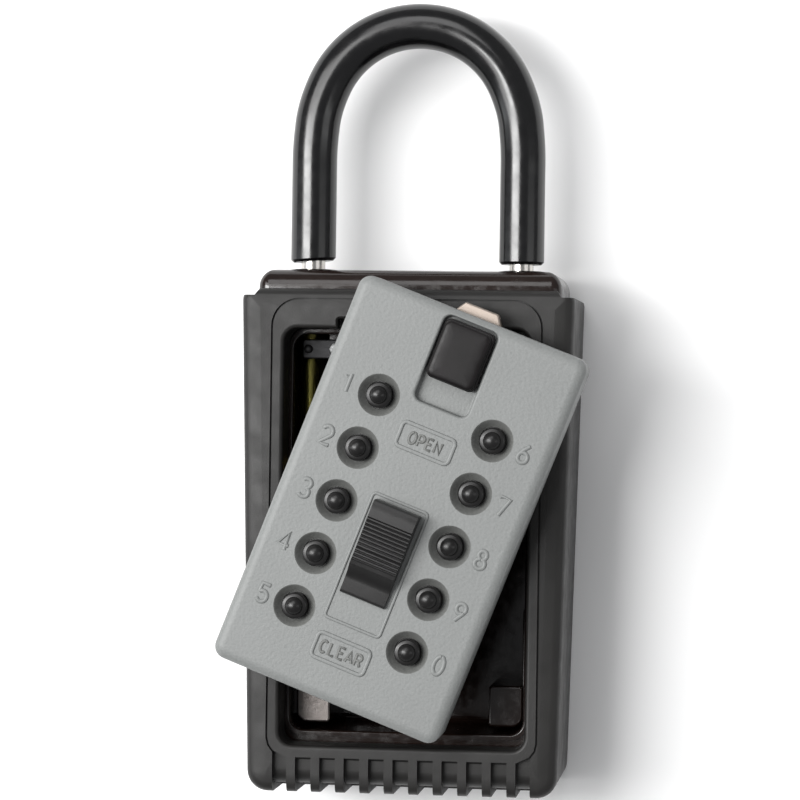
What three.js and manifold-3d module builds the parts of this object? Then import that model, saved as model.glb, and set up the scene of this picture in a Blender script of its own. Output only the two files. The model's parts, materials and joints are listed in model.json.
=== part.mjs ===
// Portable key lock box with a push-button cover.
// A rubber jacket holds a die-cast case with a key cavity; a sleeved shackle slides in the case head.
// The cover, with its ten buttons, latch and slider, lies turned on top of the open case.
// Millimetres. Origin: centre of the jacket's flat back. X right, Y towards the shackle, Z out of the front.
import * as THREE from "three";
import { mergeVertices } from "three/addons/utils/BufferGeometryUtils.js";
import Module from "manifold-3d";

const wasm = await Module();
wasm.setup();

// ---------------------------------------------------------------- driving dimensions
const GAP = 0.3; // clearance between touching pieces
const SIDES = 16; // facets of a round piece
const FEW = 10; // facets of a small round piece

const JACKET = {
  depth: 44, back: 2.5, bottom: -66, top: 64.5,
  halfTop: 43.3, halfBottom: 40.2, shoulder: 62.7, lipHalf: 38.6, corner: 4.5, edge: 1.6,
};
const OPENING = { half: 31.8, bottom: -53.7, top: 54.2, corner: 3.5 }; // front opening of the jacket
const NOTCH = { half: 18, rise: 2.6 }; // finger notch above the opening
const RIB = { count: 10, pitch: 6.35, width: 2.3, top: -56.8, reach: 17, sunk: 1.5, endGrip: 3.7 };

const CASE = { half: 34.2, bottom: -57.2, top: 58, corner: 5, back: 2.8, rim: 33.5 };
const HEAD = { half: 39.6, flat: 35.6, top: 69.6, low: 4.5, high: 40, crest: 5, bottom: 57.5 };
const CAVITY = { half: 30.7, bottom: -50.8, top: 52.9, floor: 5.6, corner: 3.7 };
const LUG = { inner: 20.9, outer: 30, bottom: -49.5, top: -38.7, high: 26, corner: 1.5 };
const WEB = { inset: 3, low: 2, drop: 3 }; // plate that ties a lug to the cavity's side wall
const GUIDE = { bottom: -39.7, top: -18.7, wide: 1.1, high: 24 }; // rib that guides the cover

const WIRE = 6.35; // shackle wire diameter
const LEG = { x: 27.7, z: 22, longEnd: 16, shortEnd: 56 };
const COLLAR = { r: 4.9, bottom: 17.3, top: 20.7 }; // keeps the long leg in the case
const BOW = { r: 26.3, y: 108.5, flare: 12 }; // half circle, and the length over which the legs spread
const SLEEVE = { outer: 11.9, bore: 7.3, end: 72.6 };

const STRIKE = { half: 29.2, bottom: 46.4, top: 51.6, low: 27.2, high: 29.4, screwX: 20, boss: 2.3 };
const DOME = { shank: 1.1, length: 6, r: 1.9, brim: 1, crown: 1.3, top: 1.4 }; // strike bar screw
const BOLT = { tip: 23.6, tail: 10, bottom: 59.5, top: 62.5, half: 2, reach: 3, tab: 46, tabWidth: 4 };
const BOLT_NOTCH = { reach: 0.9, left: 0.2 }; // room round the bolt, and its depth short of the leg's axis

const COVER = {
  x: 0.5, y: 8.3, turn: -21.2, width: 62, height: 104.6, thick: 15.2, wall: 2.2, corner: 3, edge: 2,
};
const KEYS = { x: 15.5, first: 24.9, pitch: 14.4, rows: 5, travel: 2 };
const BUTTON = { r: 3.3, hole: 3.6, dish: 5.2, dishDepth: 0.7, flange: 4.4, low: 11.9, top: 18.2 };
const PIN = { r: 2, low: 2.5, high: 11.6, collar: 3, collarLow: 7.4, collarHigh: 8.3 };
const PLATE = { low: 2.2, high: 3.4, half: 28.5, halfY: 49.8, hookEnd: -52, stop: [17.4, 19.8] };
const HOOK = { inner: 20, outer: 28 }; // two feet of the back plate that catch under the case
const FLAT_SCREW = { head: 2.8, shank: 1.45, low: 0.8, high: 1.9, tip: 9, hole: 1.75, boss: 3.2 };
const SCREW_AT = { x: 25, y: 46 };
const LOCK = { low: 8.6, high: 9.6, half: 19.5, bottom: -42, top: 43.5, travel: 6 };
const POCKET = { half: 7.25, bottom: 27.4, top: 50.5, floor: 12.4, corner: 2, wall: 1.4, base: 1.9 };
const THUMB = { half: 6.7, bottom: 34, top: 49.8, high: 17.2, corner: 1.6, stem: [2.6, 41.5, 46.5] };
const TONGUE = { half: 6.15, tip: 4.45, low: 3.9, high: 8.3, back: 38, reach: 2.6 };
const SLIDER = { half: 6.1, top: 0.5, bottom: -24.8, low: 15.5, stem: [1.9, -14, -8] };
const RESET = { half: 9.5, bottom: -30, top: -2, low: 10.2, high: 11.4 };
const SPRING_STOP = { half: 3, bottom: -48.6, top: -46.6 };

// Slots cut through the cover, as [half width, lower end, upper end].
const THUMB_SLOT = [2.9, 35.2, 46.8];
const SLIDER_SLOT = [2.2, -20.3, -7.7];

// Coil springs: mean radius, wire radius, length, turns.
const BUTTON_SPRING = [2.6, 0.2, 3.4, 2.5];
const LATCH_SPRING = [1.6, 0.3, 17.4, 8];
const CLEAR_SPRING = [1, 0.2, 16, 7];
const RELEASE_SPRING = [1.3, 0.25, 6.4, 4];

// ---------------------------------------------------------------- shape helpers
const IN = 2; // how far a cutter runs past the face it opens

/** A closed geometry as a solid that can be joined and cut. */
function solid(geometry) {
  const bare = geometry.clone();
  for (const name of ["normal", "uv"]) bare.deleteAttribute(name);
  const merged = mergeVertices(bare, 1e-4);
  return new wasm.Manifold(
    new wasm.Mesh({
      numProp: 3,
      vertProperties: merged.attributes.position.array,
      triVerts: new Uint32Array(merged.index.array),
    }),
  );
}

/** A solid back as a geometry. */
function geometryOf(body) {
  const made = body.getMesh();
  const geometry = new THREE.BufferGeometry();
  geometry.setAttribute("position", new THREE.BufferAttribute(made.vertProperties, 3));
  geometry.setIndex(new THREE.BufferAttribute(made.triVerts, 1));
  geometry.computeVertexNormals();
  return geometry;
}

const joined = (first, ...rest) => rest.reduce((body, next) => body.add(next), first);
const cut = (first, ...rest) => rest.reduce((body, next) => body.subtract(next), first);

function box(x0, x1, y0, y1, z0, z1) {
  const geometry = new THREE.BoxGeometry(x1 - x0, y1 - y0, z1 - z0);
  geometry.translate((x0 + x1) / 2, (y0 + y1) / 2, (z0 + z1) / 2);
  return solid(geometry);
}

function roundedOutline(x0, x1, y0, y1, r) {
  const shape = new THREE.Shape();
  shape.moveTo(x0 + r, y0);
  shape.absarc(x1 - r, y0 + r, r, -Math.PI / 2, 0);
  shape.absarc(x1 - r, y1 - r, r, 0, Math.PI / 2);
  shape.absarc(x0 + r, y1 - r, r, Math.PI / 2, Math.PI);
  shape.absarc(x0 + r, y0 + r, r, Math.PI, 1.5 * Math.PI);
  return shape;
}

/** An outline raised from z0 to z1, with an optional bevel on both faces. */
function prism(shape, z0, z1, edge = 0, curveSegments = 4) {
  const geometry = new THREE.ExtrudeGeometry(shape, {
    depth: z1 - z0 - 2 * edge,
    curveSegments,
    bevelEnabled: edge > 0,
    bevelThickness: edge,
    bevelSize: edge,
    bevelOffset: -edge,
    bevelSegments: 2,
  });
  geometry.translate(0, 0, z0 + edge);
  return solid(geometry);
}

/** A side outline, drawn with y to the right and z upwards, pulled from -half to half along X. */
function pulledAlongX(outline, half, curveSegments = 4) {
  const geometry = new THREE.ExtrudeGeometry(outline, {
    depth: 2 * half, curveSegments, bevelEnabled: false,
  });
  geometry.translate(0, 0, -half);
  geometry.rotateX(Math.PI / 2);
  geometry.rotateZ(Math.PI / 2);
  return solid(geometry);
}

/** A straight slot or stem centred on x = 0. */
const slot = ([half, bottom, top], z0, z1) => box(-half, half, bottom, top, z0, z1);

/** The same shape at the left (side -1) or right (side 1), between two distances from the middle. */
const beside = (side, inner, outer) => (side < 0 ? [-outer, -inner] : [inner, outer]);

/** A profile of [radius, height] points, closed on the axis, turned about Z. */
function turned(profile, x = 0, y = 0, sides = SIDES) {
  const points = profile.map(([r, z]) => new THREE.Vector2(r, z));
  const geometry = new THREE.LatheGeometry(points, sides);
  geometry.rotateX(Math.PI / 2);
  geometry.translate(x, y, 0);
  return solid(geometry);
}

function post(x, y, r, z0, z1, sides = SIDES) {
  return turned([[0, z0], [r, z0], [r, z1], [0, z1]], x, y, sides);
}

/** A round bar along Y. */
function barAlongY(x, z, r, y0, y1, sides = SIDES) {
  const geometry = new THREE.CylinderGeometry(r, r, y1 - y0, sides);
  geometry.translate(x, (y0 + y1) / 2, z);
  return solid(geometry);
}

/** A round section swept along a curve. */
function swept(curve, r, steps, sides) {
  const section = new THREE.Shape();
  for (let i = 0; i < sides; i += 1) {
    const angle = (2 * Math.PI * i) / sides;
    const place = [r * Math.cos(angle), r * Math.sin(angle)];
    if (i === 0) section.moveTo(...place);
    else section.lineTo(...place);
  }
  return solid(new THREE.ExtrudeGeometry(section, { steps, extrudePath: curve, bevelEnabled: false }));
}

/** A coil spring: a helix about Z at the origin, from z0 to z1. */
class Helix extends THREE.Curve {
  constructor(r, z0, z1, turns) {
    super();
    Object.assign(this, { r, z0, z1, turns });
  }

  getPoint(t, target = new THREE.Vector3()) {
    const angle = 2 * Math.PI * this.turns * t;
    return target.set(
      this.r * Math.cos(angle),
      this.r * Math.sin(angle),
      THREE.MathUtils.lerp(this.z0, this.z1, t),
    );
  }
}

function spring(r, wire, length, turns) {
  const helix = new Helix(r, wire, length - wire, turns);
  return new THREE.ExtrudeGeometry(
    new THREE.Shape([
      new THREE.Vector2(wire, 0), new THREE.Vector2(-wire / 2, wire),
      new THREE.Vector2(-wire / 2, -wire),
    ]),
    { steps: Math.round(turns * 7), extrudePath: helix, bevelEnabled: false },
  );
}

// ---------------------------------------------------------------- materials and nodes
const finish = (color, roughness, metalness) =>
  new THREE.MeshStandardMaterial({ color, roughness, metalness });
const rubber = finish(0x4a4a4c, 0.75, 0);
const blackCasting = finish(0x151515, 0.25, 0.1);
const polishedSteel = finish(0xc9c6c2, 0.2, 1);
const vinyl = finish(0x0c0c0e, 0.15, 0);
const powderCoat = finish(0xa3a6a6, 0.55, 0.1);
const blackPlastic = finish(0x1b1b1d, 0.3, 0);
const nickelPlate = finish(0xcdbcb0, 0.3, 1);
const brass = finish(0xb9a04a, 0.3, 1);
const zincSteel = finish(0xb4b6b4, 0.4, 0.9);

const lockBox = new THREE.Group();
const cover = new THREE.Group();
cover.position.set(COVER.x, COVER.y, JACKET.depth + GAP);
cover.rotation.z = THREE.MathUtils.degToRad(COVER.turn);
lockBox.add(cover);

function addNode(name, body, material, parent = lockBox) {
  const geometry = body instanceof THREE.BufferGeometry ? body : geometryOf(body);
  const mesh = new THREE.Mesh(geometry, material);
  mesh.name = name;
  parent.add(mesh);
  return mesh;
}

// ---------------------------------------------------------------- rubber jacket
function jacketOutline() {
  const { halfTop, halfBottom, bottom, top, shoulder, lipHalf, corner } = JACKET;
  const shape = new THREE.Shape();
  shape.moveTo(-halfBottom + corner, bottom);
  shape.absarc(halfBottom - corner, bottom + corner, corner, -Math.PI / 2, 0);
  shape.lineTo(halfTop, shoulder - 2);
  shape.lineTo(halfTop - 2, shoulder);
  shape.lineTo(lipHalf + 1.2, shoulder);
  shape.lineTo(lipHalf, top);
  shape.lineTo(-lipHalf, top);
  shape.lineTo(-lipHalf - 1.2, shoulder);
  shape.lineTo(-halfTop + 2, shoulder);
  shape.lineTo(-halfTop, shoulder - 2);
  shape.absarc(-halfBottom + corner, bottom + corner, corner, Math.PI, 1.5 * Math.PI);
  return shape;
}

function makeJacket() {
  const { half, bottom, top, corner } = OPENING;
  const body = prism(jacketOutline(), 0, JACKET.depth, JACKET.edge);
  const nest = prism(
    roundedOutline(-CASE.half - GAP, CASE.half + GAP, CASE.bottom - GAP, CASE.top + GAP, CASE.corner + GAP),
    CASE.back - GAP, CASE.rim + GAP,
  );
  const headRoom = box(
    -HEAD.half - GAP, HEAD.half + GAP, HEAD.bottom - GAP, JACKET.top + IN,
    HEAD.low - GAP, HEAD.high + GAP,
  );
  const mouth = prism(
    roundedOutline(-half, half, bottom, top, corner), CASE.rim, JACKET.depth + IN,
  );
  const notch = box(
    -NOTCH.half, NOTCH.half, top - IN, top + NOTCH.rise, HEAD.high, JACKET.depth + IN,
  );
  const grooves = [];
  const firstRib = (-(RIB.count - 1) / 2) * RIB.pitch;
  const outerEdge = RIB.width / 2 - firstRib;
  const grips = [-1, 1].map((side) => beside(side, outerEdge, outerEdge + RIB.endGrip));
  for (let i = 0; i < RIB.count - 1; i += 1) {
    const x0 = firstRib + i * RIB.pitch + RIB.width / 2;
    grips.push([x0, x0 + RIB.pitch - RIB.width]);
  }
  for (const [x0, x1] of grips) {
    const face = JACKET.bottom + RIB.sunk;
    grooves.push(
      box(x0, x1, JACKET.bottom - IN, RIB.top, JACKET.depth - RIB.sunk, JACKET.depth + IN),
      box(x0, x1, JACKET.bottom - IN, face, JACKET.depth - RIB.reach, JACKET.depth + IN),
    );
  }
  return cut(body, nest, headRoom, mouth, notch, ...grooves);
}
addNode("rubber_jacket", makeJacket(), rubber);

// ---------------------------------------------------------------- die-cast case
function makeHead() {
  const { half, flat, top, low, high, crest, bottom } = HEAD;
  const front = new THREE.Shape();
  front.moveTo(-half, bottom);
  front.lineTo(half, bottom);
  front.lineTo(half, top - (half - flat));
  front.absarc(flat, top - (half - flat), half - flat, 0, Math.PI / 2);
  front.absarc(-flat, top - (half - flat), half - flat, Math.PI / 2, Math.PI);
  const side = new THREE.Shape();
  side.moveTo(bottom - IN, low);
  side.absarc(top - crest, low + crest, crest, -Math.PI / 2, 0);
  side.absarc(top - crest, high - crest, crest, 0, Math.PI / 2);
  side.lineTo(bottom - IN, high);
  return prism(front, low, high, 0, 5).intersect(pulledAlongX(side, half + IN, 5));
}

function lug(side) {
  const [x0, x1] = beside(side, LUG.inner, LUG.outer);
  const [web0, web1] = beside(side, LUG.inner + WEB.inset, CAVITY.half + 1);
  const block = prism(
    roundedOutline(x0, x1, LUG.bottom, LUG.top, LUG.corner), CAVITY.floor - 1, LUG.high, 0, 2,
  );
  const web = box(
    web0, web1, LUG.bottom + WEB.low, LUG.top - WEB.low, CAVITY.floor - 1, LUG.high - WEB.drop,
  );
  return block.add(web);
}

/** Holes for the two strike bar screws. */
function strikeHoles(z0, z1) {
  const y = (STRIKE.bottom + STRIKE.top) / 2;
  return [-1, 1].map((side) => post(side * STRIKE.screwX, y, DOME.shank + GAP, z0, z1, 12));
}

function makeCase() {
  const { half, bottom, top, corner, back, rim } = CASE;
  const tub = prism(roundedOutline(-half, half, bottom, top, corner), back, rim);
  const hollow = prism(
    roundedOutline(-CAVITY.half, CAVITY.half, CAVITY.bottom, CAVITY.top, CAVITY.corner),
    CAVITY.floor, rim + IN,
  );
  const legRoom = WIRE / 2 + GAP;
  // The long leg runs in a shallow channel down the left wall; the short leg stops in the head.
  const legHoles = [[-1, LEG.longEnd - IN], [1, CAVITY.top - IN]].map(([side, start]) =>
    barAlongY(side * LEG.x, LEG.z, legRoom, start, HEAD.top + IN));
  const low = LEG.z - BOLT.half - GAP;
  const high = LEG.z + BOLT.half + GAP;
  const boltRoom = box(3, LEG.x, BOLT.bottom - GAP, BOLT.top + GAP, low, high);
  const tabRoom = box(
    BOLT.tail - GAP, BOLT.tail + BOLT.tabWidth + BOLT.reach + GAP,
    CAVITY.top - IN, BOLT.bottom, low, high,
  );
  // A head front that steps down to the rim inside the jacket's opening.
  const step = box(-half, half, CASE.top - 4, CASE.top + GAP, rim, HEAD.high + IN);
  const bosses = [-1, 1].map((side) => {
    const screw = side * STRIKE.screwX;
    return box(
      screw - STRIKE.boss, screw + STRIKE.boss, STRIKE.bottom - 1, CAVITY.top + 1,
      CAVITY.floor - 1, STRIKE.low - GAP,
    );
  });
  const screwHoles = strikeHoles(STRIKE.low - DOME.length - IN, STRIKE.low + IN);
  const guide = box(
    CAVITY.half - GUIDE.wide, CAVITY.half + 1, GUIDE.bottom, GUIDE.top, CAVITY.floor - 1, GUIDE.high,
  );
  const shell = cut(joined(tub, makeHead()), hollow, step);
  return cut(
    joined(shell, lug(-1), lug(1), guide, ...bosses),
    ...legHoles, boltRoom, tabRoom, ...screwHoles,
  );
}
addNode("case_shell", makeCase(), blackCasting);

const strikeOutline = roundedOutline(-STRIKE.half, STRIKE.half, STRIKE.bottom, STRIKE.top, 0.8);
addNode(
  "strike_bar",
  cut(
    prism(strikeOutline, STRIKE.low, STRIKE.high, 0, 1),
    ...strikeHoles(STRIKE.low - IN, STRIKE.high + IN),
  ),
  zincSteel,
);

function makeDomeScrew(x, y) {
  const { shank, length, r, brim, crown, top } = DOME;
  const seat = STRIKE.high + GAP;
  return turned(
    [[0, STRIKE.low - length], [shank, STRIKE.low - length], [shank, seat], [r, seat],
      [r, STRIKE.high + brim], [crown, STRIKE.high + top], [0, STRIKE.high + top]],
    x, y, 12,
  );
}
for (const [side, word] of [[-1, "left"], [1, "right"]]) {
  const head = makeDomeScrew(side * STRIKE.screwX, (STRIKE.bottom + STRIKE.top) / 2);
  addNode(`strike_screw_${word}`, head, zincSteel);
}

// ---------------------------------------------------------------- shackle, sleeve and release
function shacklePath(leftEnd, rightEnd) {
  const path = new THREE.CurvePath();
  const at = (x, y) => new THREE.Vector3(x, y, LEG.z);
  const bend = [];
  const pieces = 16;
  for (let i = 0; i <= pieces; i += 1) {
    const angle = (Math.PI * i) / pieces;
    bend.push([BOW.r * Math.cos(angle), BOW.y + BOW.r * Math.sin(angle)]);
  }
  const halfFlare = [(LEG.x + BOW.r) / 2, BOW.y - BOW.flare / 2];
  const rightLeg = [[LEG.x, rightEnd], [LEG.x, BOW.y - BOW.flare], halfFlare];
  const leftLeg = [[LEG.x, leftEnd], [LEG.x, BOW.y - BOW.flare], halfFlare].map(([x, y]) => [-x, y]);
  const points = [...leftLeg, ...bend.reverse(), ...rightLeg.reverse()].map(([x, y]) => at(x, y));
  for (let i = 1; i < points.length; i += 1) path.add(new THREE.LineCurve3(points[i - 1], points[i]));
  return path;
}

const wireBar = swept(shacklePath(LEG.longEnd, LEG.shortEnd), WIRE / 2, 36, 12);
const boltNotch = box(
  LEG.x - WIRE, LEG.x - BOLT_NOTCH.left, BOLT.bottom - BOLT_NOTCH.reach, BOLT.top + BOLT_NOTCH.reach,
  LEG.z - WIRE, LEG.z + WIRE,
);
addNode("shackle", cut(wireBar, boltNotch), polishedSteel);

const sleeveSolid = cut(
  swept(shacklePath(SLEEVE.end, SLEEVE.end), SLEEVE.outer / 2, 26, 16),
  swept(shacklePath(SLEEVE.end - IN, SLEEVE.end - IN), SLEEVE.bore / 2, 26, 12),
);
addNode("shackle_sleeve", sleeveSolid, vinyl);

function makeCollar() {
  const { r, bottom, top } = COLLAR;
  const wallSide = box(-LEG.x - 2 * r, -CAVITY.half + GAP, bottom - IN, top + IN, 0, 2 * LEG.z);
  return cut(
    barAlongY(-LEG.x, LEG.z, r, bottom, top),
    barAlongY(-LEG.x, LEG.z, WIRE / 2 + GAP, bottom - IN, top + IN),
    wallSide,
  );
}
addNode("leg_collar", makeCollar(), brass);

const releaseBolt = joined(
  box(BOLT.tail, BOLT.tip, BOLT.bottom, BOLT.top, LEG.z - BOLT.half, LEG.z + BOLT.half),
  box(BOLT.tail, BOLT.tail + BOLT.tabWidth, BOLT.tab, BOLT.top, LEG.z - BOLT.half, LEG.z + BOLT.half),
);
addNode("release_bolt", releaseBolt, zincSteel);

const releaseSpring = addNode("release_spring", spring(...RELEASE_SPRING), polishedSteel);
releaseSpring.rotation.y = Math.PI / 2;
releaseSpring.position.set(BOLT.tail - GAP - RELEASE_SPRING[2], (BOLT.bottom + BOLT.top) / 2, LEG.z);

// ---------------------------------------------------------------- cover shell
const keyPlaces = [];
for (const side of [-1, 1])
  for (let row = 0; row < KEYS.rows; row += 1) {
    const digit = (side < 0 ? row + 1 : row + 1 + KEYS.rows) % 10;
    keyPlaces.push({ digit, x: side * KEYS.x, y: KEYS.first - row * KEYS.pitch });
  }
const screwPlaces = [[-1, 1], [1, 1], [-1, -1], [1, -1]].map(
  ([sideX, sideY]) => [sideX * SCREW_AT.x, sideY * SCREW_AT.y],
);

function makeCoverShell() {
  const halfX = COVER.width / 2;
  const halfY = COVER.height / 2;
  const { wall, thick, corner, edge } = COVER;
  const ceiling = thick - wall;
  const skin = cut(
    prism(roundedOutline(-halfX, halfX, -halfY, halfY, corner), -edge * 2, thick, edge),
    box(-halfX - 1, halfX + 1, -halfY - 1, halfY + 1, -edge * 3, 0),
  );
  const hollow = prism(
    roundedOutline(-halfX + wall, halfX - wall, -halfY + wall, halfY - wall, 1.2), -IN, ceiling, 0, 2,
  );
  const pocketWall = box(
    -POCKET.half - POCKET.wall, POCKET.half + POCKET.wall, POCKET.bottom - POCKET.wall,
    halfY - wall + 0.5, POCKET.floor - POCKET.base, ceiling + 0.5,
  );
  const bosses = screwPlaces.map(([x, y]) =>
    post(x, y, FLAT_SCREW.boss, PLATE.high + GAP, ceiling + 0.5, 16));
  const springStop = box(
    -SPRING_STOP.half, SPRING_STOP.half, SPRING_STOP.bottom, SPRING_STOP.top,
    LOCK.high + GAP, ceiling + 0.5,
  );
  const keyHoles = keyPlaces.flatMap(({ x, y }) => [
    post(x, y, BUTTON.hole, ceiling - IN, thick + IN, SIDES),
    turned(
      [[0, thick - BUTTON.dishDepth], [BUTTON.dish - 0.7, thick - BUTTON.dishDepth],
        [BUTTON.dish, thick], [BUTTON.dish, thick + IN], [0, thick + IN]], x, y, SIDES,
    ),
  ]);
  const pocket = prism(
    roundedOutline(-POCKET.half, POCKET.half, POCKET.bottom, POCKET.top, POCKET.corner),
    POCKET.floor, thick + IN, 0, 3,
  );
  const thumbSlot = slot(THUMB_SLOT, POCKET.floor - IN * 2, POCKET.floor + IN);
  const sliderSlot = slot(SLIDER_SLOT, ceiling - IN, thick + IN);
  const tongueSlot = box(
    -TONGUE.half - GAP, TONGUE.half + GAP, halfY - wall - 1, halfY + 1,
    TONGUE.low - GAP, TONGUE.high + GAP,
  );
  const hookSlots = [-1, 1].map((side) => box(
    ...beside(side, HOOK.inner - GAP, HOOK.outer + GAP), -halfY - 1, -halfY + wall + 0.5,
    -1, PLATE.high + GAP,
  ));
  const screwHoles = screwPlaces.map(([x, y]) =>
    post(x, y, FLAT_SCREW.hole, 0, FLAT_SCREW.tip + 2 * GAP, 12));
  return cut(
    joined(cut(skin, hollow), pocketWall, springStop, ...bosses),
    ...keyHoles, pocket, thumbSlot, sliderSlot, tongueSlot, ...hookSlots, ...screwHoles,
  );
}
addNode("cover_shell", makeCoverShell(), powderCoat, cover);

// ---------------------------------------------------------------- mechanism behind the cover
function makeBackPlate() {
  const sheet = prism(
    roundedOutline(-PLATE.half, PLATE.half, -PLATE.halfY, PLATE.halfY, 1),
    PLATE.low, PLATE.high, 0, 2,
  );
  const hooks = [-1, 1].map((side) => box(
    ...beside(side, HOOK.inner, HOOK.outer), PLATE.hookEnd, -PLATE.halfY + 2, PLATE.low, PLATE.high,
  ));
  const stop = box(-2.5, 2.5, ...PLATE.stop, PLATE.high - 0.5, LOCK.low - GAP);
  const holes = keyPlaces.map(({ x, y }) =>
    post(x, y, PIN.r + GAP + 0.1, PLATE.low - 1, PLATE.high + 1, FEW));
  const screwHoles = screwPlaces.map(([x, y]) =>
    post(x, y, FLAT_SCREW.hole, PLATE.low - 1, PLATE.high + 1, 12));
  return cut(joined(sheet, stop, ...hooks), ...holes, ...screwHoles);
}
addNode("back_plate", makeBackPlate(), zincSteel, cover);

function makeFlatScrew(x, y) {
  const { head, shank, low, high, tip } = FLAT_SCREW;
  return turned(
    [[0, low], [head * 0.75, low], [head, THREE.MathUtils.lerp(low, high, 0.4)], [head, high],
      [shank, high], [shank, tip], [0, tip]],
    x, y, 12,
  );
}
screwPlaces.forEach(([x, y], i) =>
  addNode(`back_plate_screw_${i + 1}`, makeFlatScrew(x, y), zincSteel, cover));

const lockSlots = keyPlaces.map(({ x, y }) => {
  const room = PIN.r + GAP;
  return box(x - room, x + room, y - room, y + LOCK.travel + room, LOCK.low - 1, LOCK.high + 1);
});
addNode(
  "lock_plate",
  cut(box(-LOCK.half, LOCK.half, LOCK.bottom, LOCK.top, LOCK.low, LOCK.high), ...lockSlots),
  zincSteel, cover,
);

function makeTongue() {
  const edgeY = COVER.height / 2;
  const shape = new THREE.Shape([
    new THREE.Vector2(-TONGUE.half, TONGUE.back),
    new THREE.Vector2(TONGUE.half, TONGUE.back),
    new THREE.Vector2(TONGUE.half, edgeY),
    new THREE.Vector2(TONGUE.tip, edgeY + TONGUE.reach),
    new THREE.Vector2(-TONGUE.tip, edgeY + TONGUE.reach),
    new THREE.Vector2(-TONGUE.half, edgeY),
  ]);
  return prism(shape, TONGUE.low, TONGUE.high);
}
addNode("latch_bolt", makeTongue(), nickelPlate, cover);

const latchSpring = addNode("latch_spring", spring(...LATCH_SPRING), polishedSteel, cover);
latchSpring.rotation.x = -Math.PI / 2;
latchSpring.position.set(0, PLATE.stop[1] + GAP, (PLATE.high + LOCK.low) / 2);

function makeThumb() {
  const pad = prism(
    roundedOutline(-THUMB.half, THUMB.half, THUMB.bottom, THUMB.top, THUMB.corner),
    POCKET.floor + GAP, THUMB.high, 1, 3,
  );
  return pad.add(slot(THUMB.stem, LOCK.high + GAP, POCKET.floor + 1.5));
}
addNode("thumb_latch", makeThumb(), blackPlastic, cover);

function makeSlider() {
  // Side outline of the slider as [y, z]: flat top, hollow ramp, steep step and low foot.
  const outline = [
    [SLIDER.bottom, SLIDER.low], [SLIDER.top, SLIDER.low], [SLIDER.top, 21.1], [-4.7, 21.3],
    [-7.6, 20.2], [-11, 19.7], [-16.8, 19.8], [-20.8, 17], [SLIDER.bottom, 16.8],
  ];
  const side = new THREE.Shape(outline.map(([y, z]) => new THREE.Vector2(y, z)));
  return pulledAlongX(side, SLIDER.half).add(slot(SLIDER.stem, RESET.high + GAP, SLIDER.low + 0.5));
}
addNode("clear_slider", makeSlider(), blackPlastic, cover);
addNode(
  "reset_plate",
  box(-RESET.half, RESET.half, RESET.bottom, RESET.top, RESET.low, RESET.high),
  zincSteel, cover,
);
const clearSpring = addNode("clear_spring", spring(...CLEAR_SPRING), polishedSteel, cover);
clearSpring.rotation.x = -Math.PI / 2;
clearSpring.position.set(0, SPRING_STOP.top + GAP, LOCK.high + 1.5);

// ---------------------------------------------------------------- ten buttons, code pins and springs
function makeButton() {
  const { r, flange, low, top } = BUTTON;
  const ceiling = COVER.thick - COVER.wall;
  const profile = [[0, low], [flange, low], [flange, ceiling - GAP], [r, ceiling - GAP], [r, top - 1.9]];
  for (const angle of [30, 60]) {
    const turn = THREE.MathUtils.degToRad(angle);
    profile.push([r * Math.cos(turn), top - 1.9 + 1.9 * Math.sin(turn)]);
  }
  profile.push([0, top]);
  return turned(profile, 0, 0, 14);
}

function makePin() {
  const { r, low, high, collar: wide, collarLow, collarHigh } = PIN;
  const stem = turned(
    [[0, low], [r, low], [r, collarLow], [wide, collarLow], [wide, collarHigh], [r, collarHigh],
      [r, high], [0, high]],
    0, 0, FEW,
  );
  const slot = box(-r - 1, r + 1, -0.4, 0.4, low - 1, low + 0.9);
  const codeFlat = box(-r - 1, r + 1, 1.1, r + 1, collarHigh, LOCK.high + KEYS.travel);
  return cut(stem, slot, codeFlat);
}

const buttonGeometry = geometryOf(makeButton());
const pinGeometry = geometryOf(makePin());
const springGeometry = spring(...BUTTON_SPRING);
for (const { digit, x, y } of keyPlaces) {
  addNode(`button_${digit}`, buttonGeometry, blackPlastic, cover).position.set(x, y, 0);
  addNode(`code_pin_${digit}`, pinGeometry, brass, cover).position.set(x, y, 0);
  const coil = addNode(`button_spring_${digit}`, springGeometry, polishedSteel, cover);
  coil.position.set(x, y, PLATE.high + GAP);
}

export default lockBox;
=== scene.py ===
# %% [markdown]
# # A push-button key lock box
# A portable key lock box hangs on a door knob and keeps keys in a die-cast case behind a push-button cover.
# Here it lies open on its back, with the loose cover turned on top of it.
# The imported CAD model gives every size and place. This lesson builds the visible surfaces round it:
# smooth lofted castings, swept bars, raised lettering and the finish of each material.

# %% Load the frame
import json
from math import atan2, copysign, cos, degrees, hypot, pi, radians, sin

import bmesh
import bpy
from mathutils import Matrix, Vector


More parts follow.
